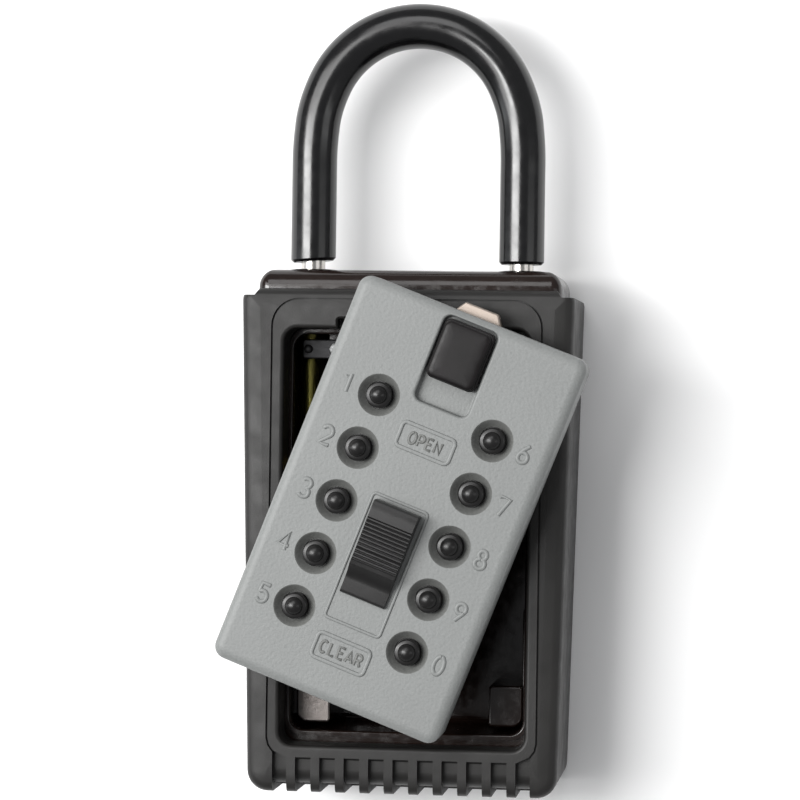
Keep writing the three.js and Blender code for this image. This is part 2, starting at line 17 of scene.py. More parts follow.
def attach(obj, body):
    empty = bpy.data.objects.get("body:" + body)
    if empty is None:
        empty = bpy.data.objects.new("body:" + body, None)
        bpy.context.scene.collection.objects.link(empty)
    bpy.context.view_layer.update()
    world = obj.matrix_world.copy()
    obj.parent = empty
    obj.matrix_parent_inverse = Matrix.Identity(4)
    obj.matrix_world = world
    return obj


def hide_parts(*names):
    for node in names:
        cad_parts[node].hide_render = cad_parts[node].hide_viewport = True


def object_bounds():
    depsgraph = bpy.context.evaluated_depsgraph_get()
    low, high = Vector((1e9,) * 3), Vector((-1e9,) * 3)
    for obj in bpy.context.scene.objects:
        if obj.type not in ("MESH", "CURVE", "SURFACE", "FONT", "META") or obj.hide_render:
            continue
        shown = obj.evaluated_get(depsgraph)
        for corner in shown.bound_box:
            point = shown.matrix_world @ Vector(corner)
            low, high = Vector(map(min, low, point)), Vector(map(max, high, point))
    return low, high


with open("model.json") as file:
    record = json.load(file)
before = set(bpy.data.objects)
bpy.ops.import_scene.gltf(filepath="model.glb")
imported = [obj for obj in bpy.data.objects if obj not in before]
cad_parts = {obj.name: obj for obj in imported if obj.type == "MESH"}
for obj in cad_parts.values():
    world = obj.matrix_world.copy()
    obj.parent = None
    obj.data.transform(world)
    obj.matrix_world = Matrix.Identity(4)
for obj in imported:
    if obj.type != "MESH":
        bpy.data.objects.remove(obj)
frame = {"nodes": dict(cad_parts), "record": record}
cad_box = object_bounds()
scene = bpy.context.scene
MM = 0.001  # the frame is in metres and this lesson thinks in millimetres
print("model box in mm:", [[round(v / MM, 1) for v in corner] for corner in cad_box])

# %% [markdown]
# ## Where things are
# Every place comes from the frame. A node's box gives its corners, and the cover's own frame is worked out
# once: the sliding latch moves straight down the cover, so its joint axis says how far the cover is turned.
# Pieces of the cover are then built upright, as on a bench, and placed with that one matrix.

# %% Boxes in millimetres and the cover's own frame
def box_mm(node, place=Matrix()):
    """Lowest and highest corner of a CAD node in millimetres, seen from the frame `place`."""
    undo = place.inverted()
    points = [undo @ (vertex.co / MM) for vertex in frame["nodes"][node].data.vertices]
    low = Vector([min(point[i] for point in points) for i in range(3)])
    high = Vector([max(point[i] for point in points) for i in range(3)])
    return low, high


joint_axes = {j["name"]: j["axis"] for j in frame["record"]["behaviour"]["joints"]}
down_x, down_y, _ = joint_axes["open_slide"]
cover_turn = atan2(down_x, -down_y)
shell_low, shell_high = box_mm("cover_shell")
cover_middle = (shell_low + shell_high) / 2
cover_place = Matrix.Translation((cover_middle.x, cover_middle.y, shell_low.z))
COVER = cover_place @ Matrix.Rotation(cover_turn, 4, "Z")
print(f"cover turned {degrees(cover_turn):.1f} degrees about", [round(v, 1) for v in cover_middle])

# %% [markdown]
# ## Camera
# The camera looks down on the front from a little to the right and from an arm's length, so that the box
# keeps straight sides. The lens follows from that distance and the width to cover.

# %% Camera
VIEW_TILT = radians(6.8)
VIEW_ROLL = radians(0.82)
VIEW_DISTANCE = 800
AIM_X, AIM_Y = -1.4, 35.9
FRAME_STEPS = 800
FRONT_SCALE = 0.2575  # millimetres of the front plane in one step across the square frame
SENSOR = 36

jacket_low, jacket_high = box_mm("rubber_jacket")
aim = Vector((AIM_X, AIM_Y, jacket_high.z))
away = Vector((sin(VIEW_TILT), 0, cos(VIEW_TILT)))
up_hint = Vector((-sin(VIEW_ROLL), cos(VIEW_ROLL), 0))
right = up_hint.cross(away).normalized()
camera = bpy.data.objects.new("camera", bpy.data.cameras.new("camera"))
camera.matrix_world = Matrix.Translation((aim + away * VIEW_DISTANCE) * MM) @ Matrix(
    (right, away.cross(right), away)).transposed().to_4x4()
camera.data.sensor_width = SENSOR
camera.data.lens = SENSOR * VIEW_DISTANCE / (FRAME_STEPS * FRONT_SCALE)
camera.data.clip_start = 0.02
scene.collection.objects.link(camera)
scene.camera = camera
scene.view_settings.view_transform = "Standard"
print("camera lens", round(camera.data.lens, 1), "mm")

# %% [markdown]
# ## Soft light
# Five soft lamps stand as in a product studio. The big one at the upper left is the main light, and a slim
# strip in front of it draws the long highlight of black vinyl. The others and a pale sky fill in. Places
# are in metres and powers in watts.

# %% Soft panels and sky
def add_panel(name, place, target, size, watts, tint=(1, 1, 1)):
    """A rectangular soft light at `place` that faces `target`, both in metres."""
    light = bpy.data.lights.new(name, "AREA")
    light.shape = "RECTANGLE"
    light.size, light.size_y = size
    light.energy = watts
    light.color = tint
    panel = bpy.data.objects.new(name, light)
    facing = Vector(target) - Vector(place)
    panel.matrix_world = Matrix.Translation(place) @ facing.to_track_quat("-Z", "Y").to_matrix().to_4x4()
    scene.collection.objects.link(panel)


CENTRE = (0, 0.03, 0.03)
SKY_STRENGTH = 0.32
add_panel("left_panel", (-0.74, 0.2, 1.2), CENTRE, (0.9, 1.1), 15.5, (1, 0.995, 0.985))
add_panel("key_strip", (-0.62, 0.15, 1.1), CENTRE, (0.2, 0.8), 8)
add_panel("top_panel", (-0.12, 0.8, 1.1), CENTRE, (0.7, 0.6), 4)
add_panel("right_panel", (1.1, 0.0, 0.9), CENTRE, (0.3, 0.9), 1.4)
add_panel("left_strip", (-0.9, 0.0, 0.3), CENTRE, (0.2, 1.0), 1.2, (0.94, 0.97, 1))

world = bpy.data.worlds.new("studio")
scene.world = world
world.use_nodes = True
sky = world.node_tree.nodes["Background"]
sky.inputs["Color"].default_value = (0.97, 0.98, 1, 1)
sky.inputs["Strength"].default_value = SKY_STRENGTH
print("lights:", len(bpy.data.lights))

# %% [markdown]
# ## Materials
# Each material is a small tree of nodes round one glossy shader. Colours are written as the hex values of a
# paint chart and turned to linear light by one function, and one helper adds a node with its settings and
# its links. Patterns use object coordinates, which are metres here, so a grain of a given size in
# millimetres always gets the scale one over that size.

# %% Colour and node helpers
def linear(hex_colour):
    """An sRGB hex colour as linear red, green, blue and alpha."""
    channels = [int(hex_colour[i:i + 2], 16) / 255 for i in (1, 3, 5)]
    return [c / 12.92 if c <= 0.04045 else ((c + 0.055) / 1.055) ** 2.4 for c in channels] + [1]


def add_node(tree, kind, inputs=None, **settings):
    """Adds a node, sets its properties, and sets or links its inputs."""
    node = tree.nodes.new(kind)
    for name, value in settings.items():
        setattr(node, name, value)
    for name, value in (inputs or {}).items():
        if isinstance(value, bpy.types.NodeSocket):
            tree.links.new(value, node.inputs[name])
        else:
            node.inputs[name].default_value = value
    return node


def per_mm(size_mm):
    """Scale of a pattern whose grain is size_mm across."""
    return 1 / (size_mm * MM)


def start_material(name, roughness, metallic=0, **sockets):
    """A new material: its tree, its shader and the object coordinates."""
    material = bpy.data.materials.new(name)
    material.use_nodes = True
    tree = material.node_tree
    shader = tree.nodes["Principled BSDF"]
    shader.inputs["Roughness"].default_value = roughness
    shader.inputs["Metallic"].default_value = metallic
    for socket, value in sockets.items():
        shader.inputs[socket.replace("_", " ")].default_value = value
    place = add_node(tree, "ShaderNodeTexCoord").outputs["Object"]
    return material, tree, shader, place


def grain(tree, place, size_mm, detail=3, roughness=0.55):
    """Cloudy grain of one size, from 0 to 1."""
    inputs = {"Vector": place, "Scale": per_mm(size_mm), "Detail": detail, "Roughness": roughness}
    return add_node(tree, "ShaderNodeTexNoise", inputs).outputs["Fac"]


def between(tree, factor, low, high, first=0.3, last=0.7):
    """A ramp from one colour or grey to another as factor goes from first to last."""
    ramp = add_node(tree, "ShaderNodeValToRGB", {"Fac": factor})
    for stop, position, value in zip(ramp.color_ramp.elements, (first, last), (low, high)):
        stop.position = position
        stop.color = linear(value) if isinstance(value, str) else (value, value, value, 1)
    return ramp.outputs["Color"]


def vary(tree, shader, socket, *ramp):
    """Lets an input of the shader follow a ramp."""
    tree.links.new(between(tree, *ramp), shader.inputs[socket])


def bump(tree, shader, height, depth_mm, under=None):
    """Relief of depth_mm on the shader's normal, on top of the relief `under` if there is one."""
    inputs = {"Height": height, "Distance": depth_mm * MM, "Strength": 1.0}
    if under:
        inputs["Normal"] = under
    made = add_node(tree, "ShaderNodeBump", inputs).outputs["Normal"]
    tree.links.new(made, shader.inputs["Normal"])
    return made


FINISH = {}  # the finish of each material slot, filled in below
print("a mid grey, #808080, is", round(linear("#808080")[0], 3), "in linear light")

# %% [markdown]
# ### Powder coat on the cover
# The cover is a zinc die casting, powder coated light grey and baked. The powder melts into a satin skin
# with a fine orange peel a little under a millimetre across, and a faint speckle where grains of pigment
# stayed apart. The relief is two noises: the peel, and a finer tooth that keeps highlights soft.

# %% Baked powder coat
def powder_coat(name, dark, light):
    material, tree, shader, place = start_material(name, 0.5, IOR=1.5)
    speckle, cloud = grain(tree, place, 0.55, detail=2), grain(tree, place, 14, detail=2)
    base = between(tree, speckle, dark, light, 0.2, 0.8)
    tone = between(tree, cloud, 0.965, 1.0, 0.35, 0.65)
    mixed = add_node(tree, "ShaderNodeMix", {"Factor": 1.0}, data_type="RGBA", blend_type="MULTIPLY")
    tree.links.new(base, mixed.inputs["A"])
    tree.links.new(tone, mixed.inputs["B"])
    tree.links.new(mixed.outputs["Result"], shader.inputs["Base Color"])
    vary(tree, shader, "Roughness", speckle, 0.42, 0.58)
    peel = bump(tree, shader, grain(tree, place, 0.9, detail=1), 0.07)
    bump(tree, shader, grain(tree, place, 0.25, detail=1), 0.008, under=peel)
    return material


FINISH["grey_powder_coat"] = powder_coat("baked_powder_coat", "#747675", "#818382")
# A darker copy of the coat is painted shade: it darkens the button dishes and the words.
PAINTED_SHADE_COAT = powder_coat("powder_coat_with_painted_shade", "#5f605e", "#6a6b69")
print("powder coat: clean, and with painted shade in the dishes")

# %% [markdown]
# ### Moulded rubber of the jacket
# The jacket is a rubber compound, pressed in a bead-blasted mould. It is a very dark grey that dust and
# handling lift a little, with a dull broad sheen. A tooth of about a third of a millimetre comes from the
# mould, and large soft clouds of bloom change its colour and roughness.

# %% Moulded rubber
def moulded_rubber():
    material, tree, shader, place = start_material("moulded_rubber", 0.5, IOR=1.42)
    vary(tree, shader, "Base Color", grain(tree, place, 22, detail=4), "#191817", "#201f1e", 0.35, 0.65)
    vary(tree, shader, "Roughness", grain(tree, place, 6, detail=4), 0.42, 0.56)
    tooth = bump(tree, shader, grain(tree, place, 0.35, detail=2), 0.03)
    bump(tree, shader, grain(tree, place, 9, detail=2), 0.12, under=tooth)
    return material


FINISH["jacket_rubber"] = moulded_rubber()
print("rubber: roughness 0.42 to 0.56")

# %% [markdown]
# ### Black gloss on the case
# The case is the same kind of casting with a black gloss coat. Light goes nearly straight off it, so it is
# seen by its reflections. A slow ripple of the coat bends them, and fine scuffs from keys break the gloss.

# %% Black gloss coat
def black_gloss():
    material, tree, shader, place = start_material("black_gloss_coat", 0.16, IOR=1.48)
    # The warm brown in this near-black base colour is painted reflection, standing in for the warm glints the
    # cavity shows.
    vary(tree, shader, "Base Color", grain(tree, place, 30, detail=2), "#180f0c", "#201612", 0.35, 0.7)
    scuffs = grain(tree, place, 3, detail=8, roughness=0.7)
    vary(tree, shader, "Roughness", scuffs, 0.12, 0.34, 0.45, 0.75)
    ripple = bump(tree, shader, grain(tree, place, 5, detail=1), 0.03)
    bump(tree, shader, grain(tree, place, 0.6, detail=2), 0.004, under=ripple)
    return material


FINISH["black_casting"] = black_gloss()
print("gloss coat: roughness 0.12, and 0.34 in its scuffs")

# %% [markdown]
# ### Black plastic and vinyl
# Buttons and slider are moulded ABS with a worn satin polish. The latch pad is the same plastic, dulled by
# thumbs. The sleeve is dip-moulded vinyl, glossier and slightly wavy. One function makes all three, from a
# roughness range and the size of the waves.

# %% Moulded ABS and vinyl
def black_polymer(name, low_roughness, high_roughness, wave_mm, wave_depth, dark, light, ior):
    material, tree, shader, place = start_material(name, low_roughness, IOR=ior)
    vary(tree, shader, "Base Color", grain(tree, place, 7), dark, light)
    rub = grain(tree, place, 3, detail=5)
    vary(tree, shader, "Roughness", rub, low_roughness, high_roughness, 0.25, 0.75)
    wave = bump(tree, shader, grain(tree, place, wave_mm, detail=1), wave_depth)
    bump(tree, shader, grain(tree, place, 0.3, detail=1), 0.0012, under=wave)
    return material


FINISH["black_plastic"] = black_polymer("moulded_abs", 0.28, 0.38, 5, 0.008, "#100f0f", "#151414", 1.45)
THUMBED_ABS = black_polymer("worn_moulded_abs", 0.3, 0.46, 2.5, 0.012, "#0e0c0c", "#171415", 1.3)
FINISH["vinyl_sleeve"] = black_polymer("dip_moulded_vinyl", 0.14, 0.26, 9, 0.04, "#050506", "#0a0a0b", 1.52)
print("plastics: satin ABS, thumbed ABS and glossy vinyl")

# %% [markdown]
# ### Plated and bare metals
# The shackle is bright-plated steel, the latch bolt warm nickel, the pressed plates zinc, the pins and
# collar brass. All are metals, so the colour is in the reflection. Drawn wire and pressed sheet carry fine
# lines one way, made by noise squashed across them. Keys have rubbed a lug to bare zinc, the strike bar is
# dark phosphated, and the long leg is yellow where the case hides it.

# %% Plated metals
def plated_metal(name, dark, light, roughness, lines=(1, 1, 1), line_mm=0.6, depth=0.004):
    """A metal whose colour and roughness vary along its lines."""
    material, tree, shader, place = start_material(name, roughness, metallic=1)
    squashed = add_node(tree, "ShaderNodeMapping", {"Vector": place, "Scale": lines}).outputs["Vector"]
    streak = grain(tree, squashed, line_mm, detail=4, roughness=0.6)
    vary(tree, shader, "Base Color", streak, dark, light)
    vary(tree, shader, "Roughness", streak, roughness * 0.75, roughness * 1.4)
    bump(tree, shader, streak, depth)
    return material


DRAWN, ROLLED = (3, 0.15, 3), (0.3, 2, 2)  # lines along the wire, and across the sheet
FINISH["bright_steel"] = plated_metal("bright_plated_steel", "#b9b5b0", "#d8d5d0", 0.2, lines=DRAWN)
FINISH["nickel_plate"] = plated_metal("warm_nickel_plate", "#93887f", "#aba097", 0.42)
FINISH["zinc_plated_steel"] = plated_metal("zinc_plated_steel", "#6c6d6d", "#8c8d8d", 0.44, lines=ROLLED)
FINISH["brass"] = plated_metal("turned_brass", "#a98b3f", "#c9ad5c", 0.28, lines=(2, 0.5, 2))
BARE_ZINC = plated_metal("rubbed_bare_zinc", "#6d6866", "#8f8985", 0.42, line_mm=1.6, depth=0.06)
PHOSPHATED = plated_metal("phosphated_steel", "#2c2c2d", "#424243", 0.5, lines=ROLLED)
YELLOW_ZINC = plated_metal("yellow_passivated_zinc", "#524d29", "#75703d", 0.32, lines=DRAWN)
print("finishes:", ", ".join(material.name for material in FINISH.values()))

# %% [markdown]
# ## The floor
# A plain pale sheet, a little rough, wide enough to fill the view from any side.

# %% Floor
FLOOR_HALF = 6.0
FLOOR_DROP = 0.0002  # just under the box, so that the two faces never coincide
floor_z = cad_box[0][2] - FLOOR_DROP
floor_mesh = bpy.data.meshes.new("floor")
signs = ((-1, -1), (1, -1), (1, 1), (-1, 1))
floor_mesh.from_pydata([(sx * FLOOR_HALF, sy * FLOOR_HALF, floor_z) for sx, sy in signs], [], [(0, 1, 2, 3)])
floor = bpy.data.objects.new("floor", floor_mesh)
paper, _, paper_shader, _ = start_material("pale_paper", 0.8)
paper_shader.inputs["Base Color"].default_value = linear("#fbfbfb")
paper_shader.inputs["Specular IOR Level"].default_value = 0.2
floor_mesh.materials.append(paper)
scene.collection.objects.link(floor)
print("floor at z", round(floor_z / MM, 2), "mm")

# %% [markdown]
# ## Shaping tools
# Castings and mouldings are lofts: a stack of equal outlines, each drawn in or out a little. These helpers
# draw the outlines and their steps of (inset, height). An arc of steps gives a true rounded edge that
# catches light, and the mouths of holes flare in the same way.

# %% Outlines
def rounded_polygon(corners, radius, inset=0.0, steps=6):
    """A convex anticlockwise polygon, drawn in by `inset`, with one radius, or one for each corner."""
    radii = radius if isinstance(radius, (list, tuple)) else [radius] * len(corners)
    points = []
    for i, corner in enumerate(corners):
        here = Vector(corner)
        back = (Vector(corners[i - 1]) - here).normalized()
        ahead = (Vector(corners[(i + 1) % len(corners)]) - here).normalized()
        half = back.angle(ahead) / 2
        bisector = (back + ahead).normalized()
        moved = here + bisector * (inset / sin(half))
        r = max(radii[i] - inset, 0.05)
        middle = moved + bisector * (r / sin(half))
        span = pi - 2 * half
        start = atan2(-bisector.y, -bisector.x) - span / 2
        for step in range(steps + 1):
            angle = start + span * step / steps
            points.append((middle.x + r * cos(angle), middle.y + r * sin(angle)))
    return points


def rectangle(x0, x1, y0, y1):
    return [(x0, y0), (x1, y0), (x1, y1), (x0, y1)]


def circle(x, y, radius, sides=48):
    angles = [2 * pi * i / sides for i in range(sides)]
    return [(x + radius * cos(a), y + radius * sin(a)) for a in angles]


def quarter(steps):
    """Angles of a quarter turn in equal steps."""
    return [pi / 2 * i / steps for i in range(steps + 1)]


def arc_in(radius, z_end, rising=True, steps=4):
    """Steps of (inset, z) round an edge: from the side wall to a face at z_end, or back from it."""
    side = 1 if rising else -1
    points = [(radius * (1 - cos(t)), z_end - side * radius * (1 - sin(t))) for t in quarter(steps)]
    return points if rising else points[::-1]


def flare_out(radius, z_end, steps=4):
    """Steps of (inset, z) that widen a hole's mouth towards a face at z_end."""
    return [(-radius * (1 - cos(t)), z_end - radius * (1 - sin(t))) for t in quarter(steps)]


print("steps of a 2 mm edge:", len(arc_in(2, 0)))

# %% [markdown]
# ### Skins
# One function skins a row of rings with quads, and the others feed it: stacked outlines, blocks, circles
# for turned parts, an outline pulled along X, and a round section swept along a path.

# %% Lofts, extrusions and sweeps
def loft(mesh, rings, loop=False):
    """Skins rings of equally many points, and caps both ends unless the stack closes on itself."""
    rows = [[mesh.verts.new(point) for point in ring] for ring in rings]
    count = len(rows[0])
    following = rows[1:] + (rows[:1] if loop else [])
    for low, high in zip(rows, following):
        for i in range(count):
            j = (i + 1) % count
            mesh.faces.new((low[i], low[j], high[j], high[i]))
    if not loop:
        mesh.faces.new(rows[0][::-1])
        mesh.faces.new(rows[-1])


def stack(mesh, corners, radius, profile, steps=6, loop=False):
    """A loft of one rounded polygon through a profile of (inset, z)."""
    rings = [[(x, y, z) for x, y in rounded_polygon(corners, radius, inset, steps)] for inset, z in profile]
    loft(mesh, rings, loop)


def block(across, along, heights, radius, steps):
    """A builder of one upright block with rounded corners, from its ranges in X, Y and Z."""
    profile = [(0, z) for z in heights]
    return lambda mesh: stack(mesh, rectangle(*across, *along), radius, profile, steps)


def turned(mesh, x, y, profile, sides=48):
    """A loft of circles through a profile of (radius, z)."""
    loft(mesh, [[(px, py, z) for px, py in circle(x, y, r, sides)] for r, z in profile])


def along_x(mesh, outline, x0, x1):
    """An outline of (y, z) points, anticlockwise seen from +X, pulled from x0 to x1."""
    loft(mesh, [[(x, y, z) for y, z in outline] for x in (x0, x1)])


def sweep(mesh, path, radius, sides=24, bore=None):
    """A round bar along a path, with round ends, or a tube if it has a bore."""
    path = [Vector(point) for point in path]
    last = len(path) - 1
    forward = [(path[min(i + 1, last)] - path[max(i - 1, 0)]).normalized() for i in range(last + 1)]
    side = forward[0].orthogonal().normalized()
    frames = []
    for direction in forward:
        side = (side - direction * side.dot(direction)).normalized()
        frames.append((side.copy(), direction.cross(side)))

    def ring(index, r, shift=0.0):
        across, over = frames[index]
        centre = path[index] + forward[index] * shift
        turns = [2 * pi * k / sides for k in range(sides)]
        return [centre + across * (r * cos(t)) + over * (r * sin(t)) for t in turns]

    lip = 0.12 * radius
    body = [ring(i, radius) for i in range(1, last)]
    if bore is None:
        ends = ((3 * lip, 0), (lip, lip * 0.4), (0, lip * 1.4))
        start = [ring(0, radius - inset, shift) for inset, shift in ends]
        end = [ring(last, radius - inset, -shift) for inset, shift in ends[::-1]]
        loft(mesh, start + body + end)
        return
    start = [ring(0, bore), ring(0, radius - lip), ring(0, radius, lip)]
    end = [ring(last, radius, -lip), ring(last, radius - lip), ring(last, bore)]
    inside = [ring(i, bore) for i in range(last - 1, 0, -1)]
    loft(mesh, start + body + end + inside, loop=True)


print("48 sides stay within", round(1 - cos(pi / 48), 4), "of a circle's radius")

# %% [markdown]
# ### From a mesh to a finished piece
# A piece is drawn in millimetres, placed, joined and cut with exact booleans, and softened with a small
# bevel.

# %% Pieces, cuts and smooth shading
def make_object(name, build, place=Matrix()):
    """Runs build(mesh) in millimetres, then places the mesh in the frame, in metres."""
    mesh = bmesh.new()
    build(mesh)
    bmesh.ops.transform(mesh, matrix=Matrix.Scale(MM, 4) @ place, verts=mesh.verts)
    bmesh.ops.recalc_face_normals(mesh, faces=mesh.faces)
    data = bpy.data.meshes.new(name)
    mesh.to_mesh(data)
    mesh.free()
    made = bpy.data.objects.new(name, data)
    scene.collection.objects.link(made)
    return made


def settle(piece):
    """Applies the piece's modifiers to its mesh."""
    depsgraph = bpy.context.evaluated_depsgraph_get()
    data = bpy.data.meshes.new_from_object(piece.evaluated_get(depsgraph))
    piece.modifiers.clear()
    piece.data = data


def boolean(piece, operation, build, place=Matrix()):
    """Joins to the piece, or cuts from it, what build(mesh) makes."""
    tool = make_object("tool", build, place)
    step = piece.modifiers.new(operation.lower(), "BOOLEAN")
    step.operation = operation
    step.solver = "EXACT"
    step.object = tool
    settle(piece)
    bpy.data.objects.remove(tool)


def soften(piece, width_mm, segments=2, angle=50):
    """Rounds the edges that turn more than `angle` degrees."""
    bevel = piece.modifiers.new("edge", "BEVEL")
    bevel.width = width_mm * MM
    bevel.segments = segments
    bevel.limit_method = "ANGLE"
    bevel.angle_limit = radians(angle)
    settle(piece)


def dress(piece, body, slot, *nodes, sharp=34, finish=None):
    """Shades the piece, gives it its slot's finish or a special one, hands it to its body and hides its CAD
    nodes.
    """
    piece.data.shade_smooth()
    piece.data.set_sharp_from_angle(angle=radians(sharp))
    weigh = piece.modifiers.new("flat faces stay flat", "WEIGHTED_NORMAL")
    weigh.keep_sharp = True
    settle(piece)
    piece.data.materials.clear()
    piece.data.materials.append(finish or FINISH[slot])
    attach(piece, body)
    if nodes:
        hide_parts(*nodes)
    low = [min(v.co[i] for v in piece.data.vertices) / MM for i in range(3)]
    high = [max(v.co[i] for v in piece.data.vertices) / MM for i in range(3)]
    size = " x ".join(f"{b - a:.1f}" for a, b in zip(low, high))
    print(f"{piece.name}: {size} mm, {len(piece.data.polygons)} faces")


print("finishes to give:", len(FINISH))

# %% [markdown]
# ## The rubber jacket
# The jacket is a thick rubber tub that wraps the case and guards its corners. It is pressed in one shot, so
# it is one loft, a little narrower at the foot, and every hollow is cut from it. Its lip rolls over in a
# wide soft arc, as a bumper does.

# %% Jacket body
case_low, case_high = box_mm("case_shell")
JACKET_TAPER = 3.1
jacket_half = jacket_high.x
jacket_foot = jacket_half - JACKET_TAPER
front = jacket_high.z
GAP = 0.3  # clearance between neighbours
JACKET_CORNERS = [(-jacket_foot, jacket_low.y), (jacket_foot, jacket_low.y),
                  (jacket_half, jacket_high.y), (-jacket_half, jacket_high.y)]
BACK_ROUND, LIP_ROUND, LIP_CROWN = 2, 2.6, 0.4


def jacket_body(mesh):
    sides = arc_in(BACK_ROUND, 0, rising=False) + [(0, 12), (0, 26)]
    lip = arc_in(LIP_ROUND, front - LIP_CROWN) + [(5, front)]
    stack(mesh, JACKET_CORNERS, [5.5, 5.5, 3, 3], sides + lip, steps=8)


jacket = make_object("jacket", jacket_body)
print("jacket is", round(2 * jacket_half, 1), "mm wide at the head")

# %% [markdown]
# ### Openings of the jacket
# The case sits in a nest. A smaller mouth keeps it in and lets the cover through, with a flared rim. A
# window lets the shackle head out, and a notch gives a finger room above the latch.

# %% Jacket openings
MOUTH = rectangle(-31.8, 31.8, -53.7, 54.2)
MOUTH_FLARE = 1.1
RIM_Z = 33.5  # front of the case's rim
HEAD_LOW_Z, HEAD_TOP_Z = 4.5, 40
jacket_nest = block((-34.5, 34.5), (-57.5, 58.3), (2.5, RIM_Z + GAP), 5.3, 8)
head_window = block((-39.9, 39.9), (57, 70), (HEAD_LOW_Z - GAP, HEAD_TOP_Z + GAP), 0.8, 3)


def jacket_mouth(mesh):
    rim = flare_out(MOUTH_FLARE, front) + [(-MOUTH_FLARE, front + 2)]
    stack(mesh, MOUTH, 3.5, [(0, RIM_Z - 1)] + rim, steps=8)


def finger_notch(mesh):
    chamfer = 0.5
    heights = [(0, HEAD_TOP_Z - 1), (0, front - chamfer), (-chamfer, front), (-chamfer, front + 2)]
    stack(mesh, rectangle(-18, 18, 52, 56.8), 0.6, heights, steps=3)


def top_steps(mesh):
    for side in (-1, 1):
        outline = [(38.6, 64.9), (38.7, 64.3), (39.8, 62.7), (47, 62.7), (47, 67), (38.6, 67)]
        points = [(side * x, y) for x, y in outline][::side]
        loft(mesh, [[(x, y, z) for x, y in points] for z in (-1, front + 1)])


for build in (jacket_nest, head_window, jacket_mouth, finger_notch, top_steps):
    boolean(jacket, "DIFFERENCE", build)
print("jacket hollows cut:", len(jacket.data.polygons), "faces")

# %% [markdown]
# ### Grip ribs and mould seam
# Ten ribs stand between grips that are sunk in the lip and run down the foot face. A thin groove round the
# lip is where two parts of the mould met. Ribs get a soft bevel and the groove a very fine one.

# %% Grip ribs and mould seam
RIB_PITCH, RIB_COUNT, RIB_WIDTH = 6.35, 10, 2.3
RIB_TOP = -56.8
RIB_SUNK = 2.0
GRIP_REACH = 17  # how far the grips run down the foot face
END_GRIP = 3.7
GROOVE_WIDTH, GROOVE_DEPTH = 0.5, 1.1


def grip_section():
    """The sunk band round the front lower edge, as (y, z): floor, round corner and foot face."""
    low, r = jacket_low.y + RIB_SUNK, 4
    corner = [(low + r * (1 - sin(t)), front - RIB_SUNK - r * (1 - cos(t))) for t in quarter(6)]
    outside = [(low, front - GRIP_REACH), (low - 4, front - GRIP_REACH - 3), (low - 4, front + 3)]
    top = [(RIB_TOP, front - RIB_SUNK + 0.7), (RIB_TOP - 0.7, front - RIB_SUNK)]
    return (top + corner + outside + [(RIB_TOP, front + 3)])[::-1]


def grips(mesh):
    first = -(RIB_COUNT - 1) / 2 * RIB_PITCH
    edges = [(first + i * RIB_PITCH + RIB_WIDTH / 2, first + (i + 1) * RIB_PITCH - RIB_WIDTH / 2)
             for i in range(RIB_COUNT - 1)]
    outer = -first + RIB_WIDTH / 2
    for x0, x1 in edges + [(-outer - END_GRIP, -outer), (outer, outer + END_GRIP)]:
        along_x(mesh, grip_section(), x0, x1)


def end_corners(mesh):
    """The slanting tops of the two end grips."""
    inner = (RIB_COUNT - 1) / 2 * RIB_PITCH + RIB_WIDTH / 2
    near, far = inner + 0.2, inner + END_GRIP
    for side in (-1, 1):
        outline = [(near, RIB_TOP - 1), (far, RIB_TOP - 1), (far, RIB_TOP + 1.7), (near, RIB_TOP)]
        points = [(side * x, y) for x, y in outline][::side]
        loft(mesh, [[(x, y, z) for x, y in points] for z in (front - RIB_SUNK, front + 1)])


def seam_groove(mesh):
    half, top, r = 35.0, 61.7, 7.0
    right = [(half - 1.7, RIB_TOP + 1.4), (half - 0.5, RIB_TOP + 3), (half, RIB_TOP + 5)]
    right += [(half - r + r * cos(t), top - r + r * sin(t)) for t in quarter(8)]
    path = right + [(-x, y) for x, y in reversed(right)]
    outside, inside = [], []
    for i, point in enumerate(path):
        before, after = Vector(path[max(i - 1, 0)]), Vector(path[min(i + 1, len(path) - 1)])
        across = (after - before).normalized().orthogonal() * (-GROOVE_WIDTH / 2)
        outside.append(Vector(point) + across)
        inside.append(Vector(point) - across)
    outline = outside + inside[::-1]
    loft(mesh, [[(x, y, z) for x, y in outline] for z in (front - GROOVE_DEPTH, front + 2)])


for build in (grips, end_corners):
    boolean(jacket, "DIFFERENCE", build)
soften(jacket, 0.5, segments=3, angle=48)
boolean(jacket, "DIFFERENCE", seam_groove)
soften(jacket, 0.14, segments=2, angle=70)
dress(jacket, "case", "jacket_rubber", "rubber_jacket")

# %% [markdown]
# ## The die-cast case
# Inside the jacket sits a die-cast tub with a raised bead round its mouth. Its head sticks out above the
# jacket and carries the shackle. Tub and head are lofts that are joined, and the key cavity is cut out, as
# the core of the die would leave it.

# %% Case tub and head
CAVITY = rectangle(-30.7, 30.7, -50.8, 52.9)
FLOOR_Z = 5.6
shackle_low, shackle_high = box_mm("shackle")
WIRE = shackle_high.z - shackle_low.z
LEG_X = shackle_high.x - WIRE / 2
LEG_Z = (shackle_low.z + shackle_high.z) / 2
HEAD_FOOT = 57.8
HEAD_ROUND = 4.6
RIM_DROP = 1.1  # how far the ledge lies under the bead
case_tub = block((-34.2, 34.2), (-57.2, 58.0), (case_low.z, RIM_Z), 5, 8)


def case_head(mesh):
    """A pillow along Y: rounded rectangles in X and Z, drawn in towards the crest."""
    across = rectangle(-39.6, 39.6, HEAD_LOW_Z, HEAD_TOP_Z)
    rings = [(0, HEAD_FOOT)] + arc_in(HEAD_ROUND, case_high.y, steps=7)
    loft(mesh, [[(x, y, z) for x, z in rounded_polygon(across, 3, inset, 5)][::-1] for inset, y in rings])


